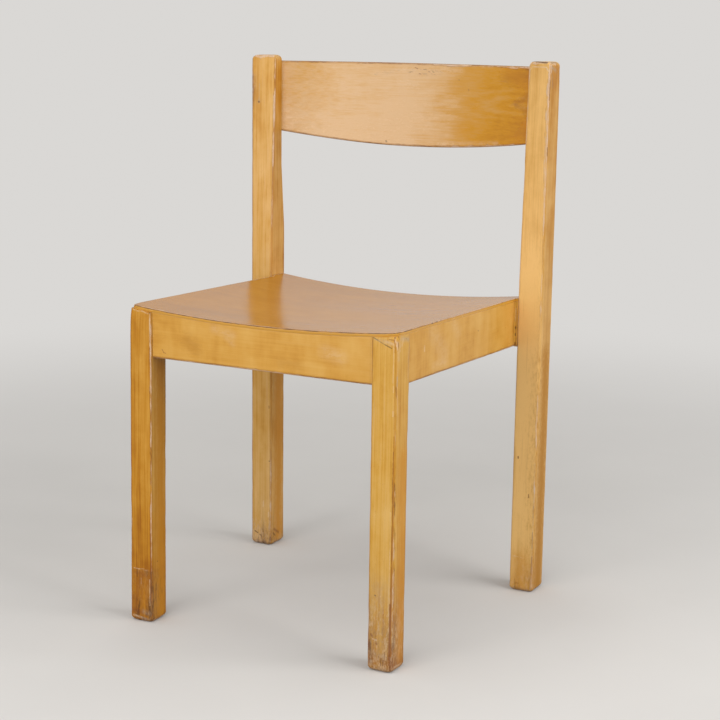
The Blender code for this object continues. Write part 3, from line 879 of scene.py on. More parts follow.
def cut_rebate(mesh, side):
    """Takes the rebate out of a post's inner back corner."""
    near, far = POST_IN - 0.01, POST_IN + REBATE_WIDE
    rings = []
    for z in spaced(0.440, REBATE_START, 0.012) + spaced(0.63, 0.80, 0.012):
        outline = [(side * x, rebate_floor(x, z), z) for x in spaced(near, far, 0.004)]
        rings.append(outline + [(side * far, 0.24, z), (side * near, 0.24, z)])
    return cut(mesh, loft("rebate_tool", rings))


def rounded_over(radius, z):
    """How far a face has drawn in at a height under the post's rounded top."""
    end = max(0.0, z - (POST_TOP - radius)) / radius
    return radius * (1 - sqrt(max(0.0, 1 - min(1.0, end) ** 2)))


def back_post(side, worn_corners, wear_bands, seed, dirt_bands, stain, **finish):
    """One back post. Its worn corners are rounder than the others."""
    name = "back_right_post" if side > 0 else "back_left_post"
    edges = sorted((side * POST_IN, side * POST_OUT))
    heights = list(FOOT_HEIGHTS) + spaced(0.0090, 0.466, 0.0034) + spaced(0.470, 0.776, 0.0034)
    for i in range(TOP_STEPS + 1):
        heights.append(POST_TOP - TOP_ROUND_X * (1 - sin(pi / 2 * i / TOP_STEPS)))
    rings = []
    for z in heights:
        pull_x, pull_y = rounded_over(TOP_ROUND_X, z), rounded_over(TOP_ROUND_Y, z)
        radii = []
        for corner in range(4):
            wobble = fine_noise((corner * 3.1, seed, z * 22), 1.0)
            radius = WORN_ROUND if corner in worn_corners else PLAIN_ROUND
            radii.append(radius * (1 + 0.25 * wobble) + foot_round(z) * 0.9)
        ring = squared_ring(
            (edges[0] + pull_x, POST_FRONT + pull_y), (edges[1] - pull_x, POST_BACK - pull_y), radii
        )
        points = []
        for x, y in ring:
            share = (POST_BACK - y) / (POST_BACK - POST_FRONT)
            moved = (post_front(side, x, z) - POST_FRONT) * share
            points.append(Vector((x, y + moved, z)))
        middle = ((edges[0] + edges[1]) / 2, (POST_FRONT + POST_BACK) / 2)
        rings.append(worn_foot(points, middle, 0.0192, z, seed))
    mesh = cut_rebate(loft(name, rings), side)

    def bounds(at):
        return at.x, at.y, edges[0], edges[1], post_front(side, at.x, at.z), POST_BACK

    def dirt(at, corner):
        extra = dirt_bands[corner](at.z) if corner in dirt_bands else 0.0
        near = min(abs(at.x - edges[0]), abs(at.x - edges[1]))
        sole = 0.5 if at.z < 0.0012 else 0.0
        return min(1.0, stain(at.z) + sole + extra * max(0.0, 1 - near / 0.010))

    ends = ((0.0, FOOT_WEAR), (POST_TOP, TOP_WEAR))
    weather(mesh, bounds, arris_wear(wear_bands), dirt, seed, ends=ends)
    return show(name, mesh, lacquered(name, "Z", seed, **finish), "lacquered_beech", name)


CREAM_TONES = (AMBER, (0.64, 0.35, 0.085), (0.74, 0.46, 0.175))
back_post(
    -1,
    (0, 1),
    {
        0: (
            banded(
                (0.0, 0.0016), (0.60, 0.0014), (0.70, 0.0038), (0.75, 0.0036), (0.77, 0.0016),
            ),
            thin,
        ),
        1: (
            banded(
                (0.0, 0.0050), (0.03, 0.0044), (0.08, 0.0028), (0.20, 0.0018), (0.50, 0.0018),
                (0.62, 0.0028), (0.786, 0.0036),
            ),
            banded((0.0, 0.0030), (0.06, 0.0020), (0.50, 0.0010), (0.786, 0.0018)),
        ),
        2: (none, none),
        3: (none, thin),
    },
    seed=11.0,
    dirt_bands={0: banded((0.700, 0.0), (0.715, 0.55), (0.752, 0.60), (0.762, 0.0))},
    stain=banded((0.0, 0.75), (0.012, 0.60), (0.03, 0.38), (0.06, 0.18), (0.10, 0.05), (0.14, 0.0)),
    tones=CREAM_TONES,
    rim_dirt=0.30,
    scrapes=0.35,
    lines=0.8,
    shine=0.20,
    tone=0.66,
    # Painted shade: the ramps make the post darker upwards from just below the seat, which paints
    # the seat's shadow there, and its inner face darker, and the orange stroke down the inner face
    # gives that face the deep orange it takes in shade.
    shading=(
        ("Z", 0.14, 0.24, -0.05), ("Z", 0.36, 0.50, -0.05), ("Z", 0.60, 0.75, -0.09),
        ("X", -0.2125, -0.2095, -0.12),
    ),
    marks=placed("""
orange -209.8 185 15 -209.8 185 360 24 0.85
dark -235.1 165.8 714.6 -235 165.8 714.2 1.8 0.75
grey -235.1 165.8 714.6 -234.9 166 716 5.2 0.35
grey -235 166 717 -234.6 166.5 742 1.3 0.3
pale -224.4 162.3 74 -224.6 162.3 64 1.1 0.7
pale -214.6 162.3 56 -215 162.3 48 1.1 0.6
red -209.8 172 26 -209.8 186 17 4 0.65
dark -209.8 169 20 -209.8 175 15 1.8 0.55
dark -240 162.3 21 -235 162.3 18.5 1.3 0.7
dark -231 162.3 16.5 -229 162.3 15 1.1 0.6
dark -214 162.3 142 -212.5 162.3 142 0.9 0.6
red -214 162.3 233 -213.8 162.3 230 1.2 0.45
"""),
)
back_post(
    1,
    (1,),
    {
        0: (banded((0.0, 0.0018), (0.66, 0.0018), (0.72, 0.0032), (0.786, 0.0036)), thin),
        1: (
            banded(
                (0.0, 0.0050), (0.05, 0.0044), (0.14, 0.0040), (0.26, 0.0030), (0.40, 0.0022),
                (0.55, 0.0026), (0.62, 0.0046), (0.72, 0.0066), (0.786, 0.0056),
            ),
            banded(
                (0.0, 0.0022), (0.30, 0.0012), (0.60, 0.0016), (0.72, 0.0026), (0.755, 0.0046),
                (0.786, 0.0110),
            ),
        ),
        2: (none, banded((0.0, 0.0012), (0.74, 0.0018), (0.786, 0.0060))),
        3: (none, none),
    },
    seed=15.0,
    dirt_bands={},
    stain=banded((0.0, 0.62), (0.012, 0.46), (0.03, 0.28), (0.06, 0.12), (0.10, 0.04), (0.14, 0.0)),
    stain_colour=(0.30, 0.125, 0.018),
    haze_colour=(0.52, 0.27, 0.07),
    edge_shade=0.15,
    shine=0.14,
    # Painted light and shade: its pale tones and its ramps make the post lightest just below the
    # seat, against the shadow the seat casts there, darker above the seat and at its top, and its
    # outer face darker; the two amber strokes darken the lower outer face further.
    tones=(AMBER, (0.66, 0.375, 0.108), (0.82, 0.505, 0.180)),
    rim_dirt=0.22,
    scrapes=0.35,
    tone=0.72,
    lines=0.6,
    cross=0.25,
    shading=(
        ("Z", 0.02, 0.12, 0.06), ("Z", 0.20, 0.34, 0.06), ("Z", 0.43, 0.54, -0.19),
        ("Z", 0.70, 0.77, -0.10), ("X", 0.2435, 0.2472, -0.33),
    ),
    marks=placed("""
red 217.6 162.3 208 217.8 162.3 206 1.3 0.8
red 236.1 162.3 152 236.3 162.3 148 1.4 0.6
pale 214 162.3 54 223 162.3 53.5 0.9 0.55
pale 227 162.3 53 231 162.3 52.5 0.9 0.5
red 220 162.3 12 224 162.3 12 2.2 0.6
dark 246.4 165 760 246.2 165 732 0.9 0.45
dark 246.2 164.5 666 246.2 164.5 654 0.8 0.45
pale 242.5 162.8 718 243 162.8 712 2.2 0.5
dark 244.6 162.3 135 244.6 162.3 118 0.9 0.35
dark 244.6 162.3 95 244.6 162.3 70 1 0.4
red 244.8 162.3 56 244.6 162.3 30 1.4 0.45
grey 245 162.3 200 245 162.3 20 2.6 0.4
pale 212 174 764 212.8 174.2 774 1 0.45
pale 212.8 174.2 774 216 173.1 778.5 1.2 0.6
pale 216 173.1 778.5 240 165.5 778.5 1.2 0.65
pale 240 165.5 778.5 244 164 773 1.4 0.65
dark 211.6 178 776 216.5 175.5 784.6 1.8 0.7
dark 216.5 175.5 785 240.5 166 785 1.8 0.75
dark 240.5 166 785 245.5 172 780 2.2 0.7
dark 243 175 784.5 243 195 784.5 3.5 0.55
orange 228 162.3 0 228 162.3 45 30 0.5
amber 247.2 185 10 247.2 185 360 30 0.92
amber 247.2 185 10 247.2 185 540 28 0.46
grey 246.8 170 778 246.8 185 774 5.5 0.6
grey 246.8 172 768 246.8 174 750 3 0.35
"""),
)


# Rails. Four beech boards join the legs and posts under the seat, glued and doweled end to
# face. Their upper edges are cut to the hollow of the seat.
RAIL_FACE = FRONT + 0.0020
COVERED = 0.02
RAIL_ROUND, RAIL_WEAR = 0.0016, 0.0022
RAIL_BOTTOM, BACK_RAIL_BOTTOM = 0.383, 0.3735


def side_rail_bottom(y):
    share = (y - LEG_BACK) / (POST_FRONT - LEG_BACK)
    return RAIL_BOTTOM - (RAIL_BOTTOM - BACK_RAIL_BOTTOM) * share


def rail(name, grain, ends, sides, bottom, seed, **finish):
    """One rail. ends are its ends along the grain, sides its two upright faces, and bottom
    gives the height of its lower edge.
    """
    rings = []
    for t in spaced(*ends, 0.0045):
        middle = (sides[0] + sides[1]) / 2
        base = bottom(t)
        radii = (RAIL_ROUND, RAIL_ROUND, 0.0001, 0.0001)
        upper = under_seat(t, middle) if grain == "X" else under_seat(middle, t)
        ring = squared_ring((sides[0], base), (sides[1], upper), radii)
        points = []
        for across, z in ring:
            x, y = (t, across) if grain == "X" else (across, t)
            share = (z - base) / (upper - base)
            points.append(Vector((x, y, base + share * (under_seat(x, y) - base))))
        rings.append(points)
    mesh = loft(name, rings)

    def bounds(at):
        t, across = (at.x, at.y) if grain == "X" else (at.y, at.x)
        return across, at.z, sides[0], sides[1], bottom(t), under_seat(at.x, at.y) + COVERED

    def wear(at, corner, on_face):
        return RAIL_WEAR if corner < 2 else 0.0

    # Darker at the rail's ends, which paints the shade in the joints with the legs and posts, and
    # darker along its lower edge.
    def dirt(at, corner):
        t = at.x if grain == "X" else at.y
        end = min(abs(t - ends[0]), abs(t - ends[1]))
        a, b, a0, a1, b0, b1 = bounds(at)
        return 0.20 * max(0.0, 1 - end / 0.0014) + 0.45 * max(0.0, 1 - (b - b0) / 0.0022)

    weather(mesh, bounds, wear, dirt, seed, dent=0.0003)
    return show(name, mesh, lacquered(name, grain, seed, **finish), "lacquered_beech_rail", name)


rail(
    "front_rail", "X", (-0.16975, 0.16975), (RAIL_FACE, FRONT + 0.025), lambda x: RAIL_BOTTOM,
    seed=21.0, tone=0.48, contrast=1.0, lines=0.30, cross=0.35,
    shading=(("X", -0.17, 0.17, 0.13),),
    marks=placed("""
amber -112 -219.7 412 -101 -219.7 404 18 0.5
pale -70 -219.7 433 -40 -219.7 427 11 0.26
pale -50 -219.7 423 -40 -219.7 415 8 0.22
red -154 -219.7 396 -151.5 -219.7 392 1 0.5
red -151.5 -219.7 392 -148 -219.7 391.5 0.8 0.45
pale 100 -219.7 420 125 -219.7 414 16 0.3
amber 35 -219.7 398 60 -219.7 397.5 14 0.3
"""),
)
rail(
    "left_side_rail", "Y", (-0.18565, 0.1622), (-0.205, -0.183), side_rail_bottom, seed=24.0,
    tone=0.5, lines=0.3, cross=0.3,
)
rail(
    "right_side_rail", "Y", (-0.18565, 0.1622), (0.183, 0.205), side_rail_bottom, seed=27.0,
    tone=0.50, contrast=1.1, lines=0.12, cross=0.5, shading=(("Y", -0.18, 0.16, 0.10),),
    marks=placed("""
pale 205 -115 440 205 -80 405 26 0.24
pale 205 -50 442 205 -35 425 18 0.2
pale 205 -140 424 205 -140 418 2 0.5
pale 205 -110 392 205 -75 392 12 0.24
pale 205 60 444 205 90 444 2.5 0.35
pale 205 10 444 205 30 444.5 2.2 0.35
red 205 31 418 205 33 417.5 1.2 0.45
"""),
)
rail(
    "back_rail", "X", (-0.20975, 0.20975), (POST_FRONT, POST_FRONT + 0.024),
    lambda x: BACK_RAIL_BOTTOM, seed=31.0, tone=0.45, lines=0.3, shine=0.15,
    # Painted light: the pale tones lighten the strip of rail beside each post, which stands in the
    # side rail's shadow.
    tones=(HONEY, (0.78, 0.44, 0.070), (0.90, 0.57, 0.120)), edge_shade=0.0,
    marks=placed("""
dark 207 162.3 403 207.1 162.3 401 1.6 0.75
dark 206.8 162.3 392.5 206.9 162.3 390.5 1.4 0.7
red 207 162.3 379 207.1 162.3 376 1.8 0.6
red 207.8 162.3 440 207.8 162.3 377 2.8 0.45
pale 206.6 162.3 430 206.7 162.3 412 1 0.45
"""),
)


# Seat. One sheet of 5 mm beech plywood, hollowed across and glued down on the rails and the
# leg tops. It is level with the rails' faces, and an ear at each back corner fills the space
# beside the post.
def geometry_tree(name, inputs):
    """A new tree with named inputs. Returns it, its readings by name, and their identifiers."""
    tree = bpy.data.node_groups.new(name, "GeometryNodeTree")
    for way in ("INPUT", "OUTPUT"):
        tree.interface.new_socket("Geometry", in_out=way, socket_type="NodeSocketGeometry")
    keys = {}
    for label, value in inputs.items():
        kind = "NodeSocketFloat"
        if isinstance(value, int):
            kind = "NodeSocketInt"
        elif isinstance(value, bpy.types.Material):
            kind = "NodeSocketMaterial"
        socket = tree.interface.new_socket(label, in_out="INPUT", socket_type=kind)
        keys[label] = socket.identifier
    start = node(tree, "NodeGroupInput")
    given = {label: Reading(tree, start.outputs[label]) for label in inputs}
    given["Geometry"] = start.outputs["Geometry"]
    return tree, given, keys


def finish_tree(tree, geometry, material):
    """Ends a tree in real geometry that carries its material."""
    real = node(tree, "GeometryNodeRealizeInstances", {"Geometry": geometry})
    inputs = {"Geometry": real.outputs[0], "Material": material}
    coated = node(tree, "GeometryNodeSetMaterial", inputs)
    node(tree, "NodeGroupOutput", {"Geometry": coated.outputs[0]})


def grown(name, build, inputs, base=None):
    """Builds a tree, runs it on a base mesh and returns the plain mesh that comes out."""
    tree, keys = build(inputs)
    base = base or bpy.data.meshes.new(name + "_base")
    carrier = bpy.data.objects.new(name, base)
    bpy.context.scene.collection.objects.link(carrier)
    modifier = carrier.modifiers.new(name, "NODES")
    modifier.node_group = tree
    for label, value in inputs.items():
        modifier[keys[label]] = value
    graph = bpy.context.evaluated_depsgraph_get()
    mesh = bpy.data.meshes.new_from_object(carrier.evaluated_get(graph))
    mesh.name = name
    carrier.modifiers.remove(modifier)
    bpy.data.objects.remove(carrier, do_unlink=True)
    return mesh


def flat_grid(tree, columns, rows):
    """A flat grid, and each point's two places on it, from -1 to 1."""
    grid = node(
        tree,
        "GeometryNodeMeshGrid",
        {"Size X": 2.0, "Size Y": 2.0, "Vertices X": columns, "Vertices Y": rows},
    )
    u, v, _ = parts(tree, node(tree, "GeometryNodeInputPosition").outputs[0])
    return grid.outputs["Mesh"], u, v


def counted(share, count):
    """The number of a grid's column or row, from a place on it between -1 and 1."""
    return (share + 1.0) * 0.5 * (count - 1.0)


def spot_at(tree, x, y, z):
    return node(tree, "ShaderNodeCombineXYZ", {0: x, 1: y, 2: z}).outputs[0]


def ripple(tree, at, scale):
    """Slow noise over a sheet, from -0.5 to 0.5."""
    made = node(tree, "ShaderNodeTexNoise", {"Vector": at, "Scale": scale, "Detail": 1.0})
    return Reading(tree, made.outputs["Fac"]) - 0.5


def choose(tree, test, if_true, if_false):
    """One number or the other, by a test that is 0 or 1."""
    made = node(tree, "GeometryNodeSwitch", input_type="FLOAT")
    for socket, value in (("Switch", test), ("True", if_true), ("False", if_false)):
        feed(tree, made.inputs[socket], value)
    return Reading(tree, made.outputs[0])


def quarter_round(tree, ease, distance):
    """How far a face has dropped at a distance from its rounded edge."""
    short = (ease - distance).at_least(0.0)
    return ease - (ease * ease - short * short).root()


def sheet_solid(tree, grid, thick, rim, ease, distance, place_at):
    """Two skins from the same grid, joined round their edge, with their measures stored.

    rim is 1 at the grid's outermost points, ease holds the roundness of the upper and the
    lower edge, and place_at gives the point that is so far out of the upper face.
    """
    skins = []
    for sign, edge_ease in zip((1.0, -1.0), ease):
        plain = thick * 0.5 - quarter_round(tree, edge_ease, distance)
        offset = choose(tree, rim, 0.0, plain) * sign
        depth = thick * 0.5 - offset
        drop = depth if sign > 0 else thick - depth
        skin = grid
        for name, value in (("arris", distance + drop), ("depth", depth)):
            skin = node(
                tree,
                "GeometryNodeStoreNamedAttribute",
                {"Geometry": skin, "Name": name, "Value": value},
                data_type="FLOAT",
                domain="POINT",
            ).outputs[0]
        inputs = {"Geometry": skin, "Position": place_at(offset - thick * 0.5)}
        skins.append(node(tree, "GeometryNodeSetPosition", inputs).outputs[0])
    turned = node(tree, "GeometryNodeFlipFaces", {"Mesh": skins[1]})
    whole = node(tree, "GeometryNodeJoinGeometry")
    for skin in (skins[0], turned.outputs[0]):
        tree.links.new(skin, whole.inputs[0])
    inputs = {"Geometry": whole.outputs[0], "Distance": 0.000004}
    return node(tree, "GeometryNodeMergeByDistance", inputs).outputs[0]


def seat_tree(inputs):
    tree, given, keys = geometry_tree("hollowed_panel", inputs)
    columns, rows, ear_row = given["Columns"], given["Rows"], given["Ear Row"]
    front, ear_front, back = given["Front"], given["Ear Front"], given["Back"]
    grid, u, v = flat_grid(tree, columns, rows)
    column, row = counted(u, columns), counted(v, rows)

    inwards = column.at_most(columns - 1.0 - column)
    share = ((inwards - 1.0).at_least(0.0) / ((columns - 1.0) * 0.5 - 1.0)).at_most(1.0)
    toward = ((row - 1.0).at_least(0.0) / (ear_row - 1.0)).at_most(1.0)
    main_y = front + (ear_front - front) * toward * toward
    past = ((row - ear_row - 1.0) / (rows - 3.0 - ear_row)).at_least(0.0).at_most(1.0)
    eased = 1.0 - (1.0 - past) * (1.0 - past)
    ear_y = ear_front + 0.00005 + (back - ear_front - 0.00005) * eased
    in_ear = row > ear_row + 0.5
    y = choose(tree, in_ear, ear_y, main_y)
    radius = given["Corner Radius"]
    short = (radius - (y - front)).at_least(0.0)
    inset = radius - (radius * radius - short * short).root()
    half = choose(tree, in_ear, given["Ear Half Width"], given["Half Width"] - inset)
    side = calc(tree, "SIGN", u)
    from_side = half * share * share
    x = side * (half - from_side)

    along = (y - given["Hollow Origin"]) / given["Depth"]
    hollow = given["Front Hollow"] + given["Hollow Gain"] * along
    across = x / given["Half Width"]
    surface = (
        given["Front Edge Height"] - given["Edge Fall"] * along - hollow * (1.0 - across * across)
    )
    surface = surface + ripple(tree, spot_at(tree, x, y, 0.0), 11.0) * given["Unevenness"]

    distance = from_side.at_most(y - front).at_most(back - y)
    rim = (inwards < 0.5).at_least(row < 0.5).at_least(row > rows - 1.5)
    by_side, by_front = calc(tree, "ABSOLUTE", x).ramp(0.182, 0.198), (y - front).ramp(0.006, 0.024)
    at_corner = by_side * (1.0 - by_front)
    ease = given["Upper Ease"] + given["Corner Ease"] * at_corner, given["Lower Ease"]
    sheet = sheet_solid(
        tree, grid, given["Thickness"], rim, ease, distance,
        lambda out: spot_at(tree, x, y, surface + out),
    )
    finish_tree(tree, sheet, given["Material"])
    return tree, keys


def plywood(
    name, grain, seed, plies, thickness, edge_zone, edge_tones, crease, crease_fade=None, **finish
):
    """Beech plywood under a clear lacquer: a streaked face veneer, the plies seen on edge as
    lighter and darker lines, and a broken dark line under the upper veneer, which is dirt on the
    seat and along the backrest's lower edge also painted shade.

    edge_zone gives the depths, as shares of the thickness, where the plies begin and end to
    show, and crease is (from, to, strength) of the dark line, as depths. crease_fade is the
    reach of Y in which the line fades out.
    """
    made = lacquered(name, grain, seed, **finish)
    tree = made.node_tree
    shader = tree.nodes["Principled BSDF"]
    place = node(tree, "ShaderNodeTexCoord").outputs["Object"]
    depth = measure(tree, "depth")
    share = depth / thickness
    wobble = pattern(tree, place, 60, 60, grain, 2.0, 0.5, seed + 29)
    soft = pattern(tree, place, 160, 14, grain, 3.0, 0.6, seed + 31)
    layer = calc(tree, "SINE", (share + (wobble - 0.5) * 0.05) * (plies * pi))
    z0, z1, z2, z3 = edge_zone
    edge = share.ramp(z0, z1) * (1.0 - share.ramp(z2, z3))
    face = shader.inputs["Base Color"].links[0].from_socket
    lines = mixed(tree, layer.ramp(-0.5, 0.6) * 0.6 + soft.ramp(0.35, 0.65) * 0.4, *edge_tones)
    colour = mixed(tree, edge * 0.85, face, lines)
    upper, lower, strength = crease
    line = depth.ramp(upper * 0.6, upper) * (1.0 - depth.ramp(lower, lower * 1.35))
    line = line * (0.35 + (wobble * 0.5 + soft * 0.5).ramp(0.42, 0.56) * 0.65) * strength
    if crease_fade:
        line = line * (1.0 - parts(tree, place)[1].ramp(*crease_fade) * 0.8)
    feed(tree, shader.inputs["Base Color"], mixed(tree, line, colour, GRIME))
    return made


SEAT_BACK = FRONT + SEAT_DEPTH
SEAT_TONES = ((0.36, 0.145, 0.010), (0.455, 0.19, 0.014), (0.56, 0.255, 0.032))
seat_finish = plywood(
    "seat_panel", "X", 41.0, 5, SEAT_PLY, (0.15, 0.24, 0.955, 0.985),
    ((0.58, 0.285, 0.034), (0.63, 0.325, 0.048)), (0.0003, 0.0011, 0.90), (-0.16, -0.09),
    tones=SEAT_TONES, tone=0.5, contrast=0.65, lines=0.36, gloss=0.23, shine=0.38, edge_shade=0.0,
    shading=(("X", -0.20, 0.20, 0.10),),
    # The pale stroke on the front edge above the left leg is a painted highlight.
    marks=placed("""
dark 205 -132 449.2 205 -127.5 449.2 1.1 0.75
dark 205 -122 449.6 205 -116.5 451.3 1.5 0.9
dark 204.8 -107 451.2 204.8 -101 451 1.1 0.65
dark 205 -93.5 450.7 205 -89.5 450.6 0.9 0.5
red 205 -76 448 205 -72.5 448 1.3 0.9
dark 205 -67 448.6 205 -64 448.6 1.1 0.7
pale 205 -57 446.8 205 -47 447.8 1.6 0.55
pale 205 -25 449 205 -21 445 1.6 0.5
pale 202 85 446 203 108 445.5 3 0.55
pale -162 -217 450.5 -154 -216.5 450 3 0.6
grey -95 -210 446 -70 -208 445 6 0.22
pale -173.5 -220.2 449 -170 -220.2 449 1.4 0.5
red 30 -50 442 50 -49 442 1.2 0.25
"""),
)
seat_inputs = {
    "Columns": 97,
    "Rows": 96,
    "Ear Row": 78,
    "Front": RAIL_FACE - 0.0001,
    "Ear Front": POST_FRONT + 0.001,
    "Back": SEAT_BACK,
    "Half Width": FRAME_HALF,
    "Ear Half Width": POST_IN - GAP,
    "Corner Radius": 0.010,
    "Hollow Origin": FRONT,
    "Depth": SEAT_DEPTH,
    "Front Edge Height": SEAT_HEIGHT,
    "Edge Fall": SEAT_FALL,
    "Front Hollow": SEAT_HOLLOW,
    "Hollow Gain": HOLLOW_GAIN,
    "Thickness": SEAT_PLY,
    "Upper Ease": 0.0009,
    "Corner Ease": 0.0022,
    "Lower Ease": 0.0001,
    "Unevenness": 0.00035,
    "Material": seat_finish,
}
seat_mesh = grown("seat_panel", seat_tree, seat_inputs)


def panel_wear(mesh, width):
    """Stores the worn width on a panel, from the place and the way each point faces, and no
    dirt.
    """
    for name, rule in (("wear", width), ("dirt", lambda at, facing: 0.0)):
        layer = mesh.attributes.new(name, "FLOAT", "POINT")
        layer.data.foreach_set("value", [rule(v.co, v.normal) for v in mesh.vertices])


def seat_wear(at, facing):
    if facing.z < 0.8:
        return 0.0007
    return 0.0034 if at.y < FRONT + 0.03 else 0.0024


panel_wear(seat_mesh, seat_wear)
show("seat_panel", seat_mesh, seat_finish, "seat_plywood", "seat_panel")


# Backrest. One curved sheet of 9 mm beech plywood with rounded edges. Its ends lie in the
# rebates of the posts, held by two screws each. Its lower edge is bowed.
def backrest_tree(inputs):
    tree, given, keys = geometry_tree("curved_panel", inputs)
    columns, rows = given["Columns"], given["Rows"]
    grid, u, v = flat_grid(tree, columns, rows)
    column, row = counted(u, columns), counted(v, rows)
    along = ((column - 1.0) / (columns - 3.0)).at_least(0.0).at_most(1.0)
    x = (along * 2.0 - 1.0) * given["Half Length"]
    across = x / given["Rebate Half"]
    inwards = row.at_most(rows - 1.0 - row)
    share = ((inwards - 1.0).at_least(0.0) / ((rows - 1.0) * 0.5 - 1.0)).at_most(1.0)
    left = (x * -1.0).ramp(0.02, given["Half Length"])
    top = given["Top"] - left * given["Left Drop"]
    bottom = (
        given["End Bottom"] - given["Bow"] * (1.0 - across * across) + left * given["Left Rise"]
    )
    half = (top - bottom) * 0.5
    from_edge = half * share * share
    z = (top + bottom) * 0.5 + calc(tree, "SIGN", v) * (half - from_edge)
    face = given["End Y"] + given["Sweep"] * (1.0 - across * across)
    slope = x * given["Sweep"] * -2.0 / (given["Rebate Half"] * given["Rebate Half"])
    length = (slope * slope + 1.0).root()
    normal_x, normal_y = slope / length, -1.0 / length
    uneven = ripple(tree, spot_at(tree, x, 0.0, z), 13.0) * given["Unevenness"]
    rim = (inwards < 0.5).at_least(column < 0.5).at_least(column > columns - 1.5)

    def place_at(out):
        out = out + uneven
        return spot_at(tree, x + normal_x * out, face + normal_y * out, z)

    ease = given["Ease"], given["Ease"]
    sheet = sheet_solid(tree, grid, given["Thickness"], rim, ease, from_edge, place_at)
    finish_tree(tree, sheet, given["Material"])
    return tree, keys


BACKREST_PLY = 0.009
backrest_finish = plywood(
    "backrest", "X", 51.0, 7, BACKREST_PLY, (0.10, 0.20, 0.80, 0.90),
    ((0.34, 0.14, 0.014), (0.54, 0.28, 0.05)), (0.0006, 0.0014, 0.45),
    # Painted sheen and shade: the peach tones and the ramps make the left and centre pale, the
    # sheen the hollow panel shows there, and leave the right end the wood's deep amber. The wide
    # dark stroke at the left end is painted shade, the pale stroke along the top a painted
    # reflection, and the red and orange strokes at the right end draw its dark figure and paint
    # shade towards the right post. Along the lower edge the darkened arris and the dark line are
    # painted shade on the rounding.
    tones=((0.585, 0.268, 0.010), (0.60, 0.315, 0.068), (0.69, 0.45, 0.23)), tone=0.63,
    contrast=0.70, lines=0.6, gloss=0.25, shine=0.44, edge_shade=0.45, deep=(0.47, 0.185, 0.005),
    figure=((0.205, 0.198, 0.722), 0.10, 0.0090, 0.08, 0.036),
    shading=(("X", -0.21, -0.10, 0.15), ("X", -0.01, 0.10, -0.31), ("X", 0.05, 0.21, -0.32)),
    marks=placed("""
dark -209.7 192.7 670 -209.7 192.7 780 90 0.12
specks -60 216.5 760 -20 216.5 766 6 0.4
specks 0 217 766 50 216.5 764 8.5 0.75
pale -30 217.2 768 85 213.6 769 12 0.24
dark -1 217 764 1 217 764 1.1 0.55
dark 22 217 769 27 217 768.5 0.9 0.45
red 8 217 771.5 12 217 770 1.3 0.55
red 15 217 762.5 18 217 762 1.2 0.45
red 31 217 766 33 217 765.5 1.1 0.45
pale -206 194.5 777.5 -140 206 777.8 1.6 0.3
dark 82.7 213.8 755.1 83.2 213.8 754.9 1.1 0.5
red 99.3 212.1 741.2 100 212.1 740.8 1.2 0.45
dark -38.9 216.8 660 -38 216.8 658.5 1.5 0.5
red 181 199.1 724 209 193 739 8.5 0.26
red 181 199.1 722 209 193 710 8.5 0.24
red 165 202.2 761 209 193 764 18 0.26
red 211 192.7 670 211 192.7 775 26 0.26
orange 165 202.2 770 209 193 750 20 0.35
orange 185 198.3 675 209 193 700 16 0.35
red 185 198.3 683 209 193 680 13 0.16
pale 50 216.2 659 150 205 665 6 0.34
pale 90 213 776 140 207 776 2.2 0.35
pale -20 217.7 750 10 217.7 745 14 0.22
"""),
)
backrest_inputs = {
    "Columns": 99,
    "Rows": 45,
    "Half Length": 0.2223,
    "Rebate Half": POST_IN,
    "Top": 0.778,
    "Left Drop": 0.0007,
    "End Bottom": 0.6675,
    "Bow": 0.0145,
    "Left Rise": 0.0019,
    "End Y": 0.1927,
    "Sweep": 0.025,
    "Thickness": BACKREST_PLY,
    "Ease": 0.0025,
    "Unevenness": 0.0004,
    "Material": backrest_finish,
}
BACK_SCREW_X, BACK_SCREW_Y = 0.2173, 0.1999
BACK_SCREW_HEIGHTS = (0.700, 0.748)
SINK_RADIUS, SINK_DEPTH = 0.0042, 0.0030


def countersunk(mesh):
    """Cuts the four holes that take the screw heads in the back of the panel."""
    drill = bmesh.new()
    for x in (-BACK_SCREW_X, BACK_SCREW_X):
        for z in BACK_SCREW_HEIGHTS:
            at = Matrix.Translation((x, BACK_SCREW_Y, z)) @ Matrix.Rotation(-pi / 2, 4, "X")
            bmesh.ops.create_cone(
                drill, cap_ends=True, segments=32, radius1=SINK_RADIUS, radius2=SINK_RADIUS,
                depth=SINK_DEPTH, matrix=at,
            )
    tool_mesh = bpy.data.meshes.new("countersink_tool")
    drill.to_mesh(tool_mesh)
    drill.free()
    return cut(mesh, tool_mesh)


def backrest_wear(at, facing):
    if abs(at.x) > POST_IN - 0.001:
        return 0.0
    return 0.0036 if at.x > 0.04 and facing.y < -0.5 else 0.0022


backrest_mesh = countersunk(grown("backrest", backrest_tree, backrest_inputs))
panel_wear(backrest_mesh, backrest_wear)
show("backrest", backrest_mesh, backrest_finish, "backrest_plywood", "backrest")


# Screws. Twelve slotted steel wood screws, dulled by age: two through each corner block, and
# two through each end of the backrest.
steel, tree, shader, place = new_finish("screw_steel")
tarnish = pattern(tree, place, 700, 700, "Z", 4.0, 0.6, 3.0)
scratches = pattern(tree, place, 2600, 300, "X", 2.0, 0.6, 8.0)
dulled = mixed(tree, tarnish.ramp(0.35, 0.65), (0.22, 0.19, 0.16), (0.50, 0.48, 0.45))
feed(tree, shader.inputs["Base Color"], dulled)
shader.inputs["Metallic"].default_value = 1.0
feed(tree, shader.inputs["Roughness"], 0.32 + tarnish * 0.2 + scratches * 0.1)
roughen(tree, shader, tarnish + scratches * 0.5, 0.3, 0.00005)

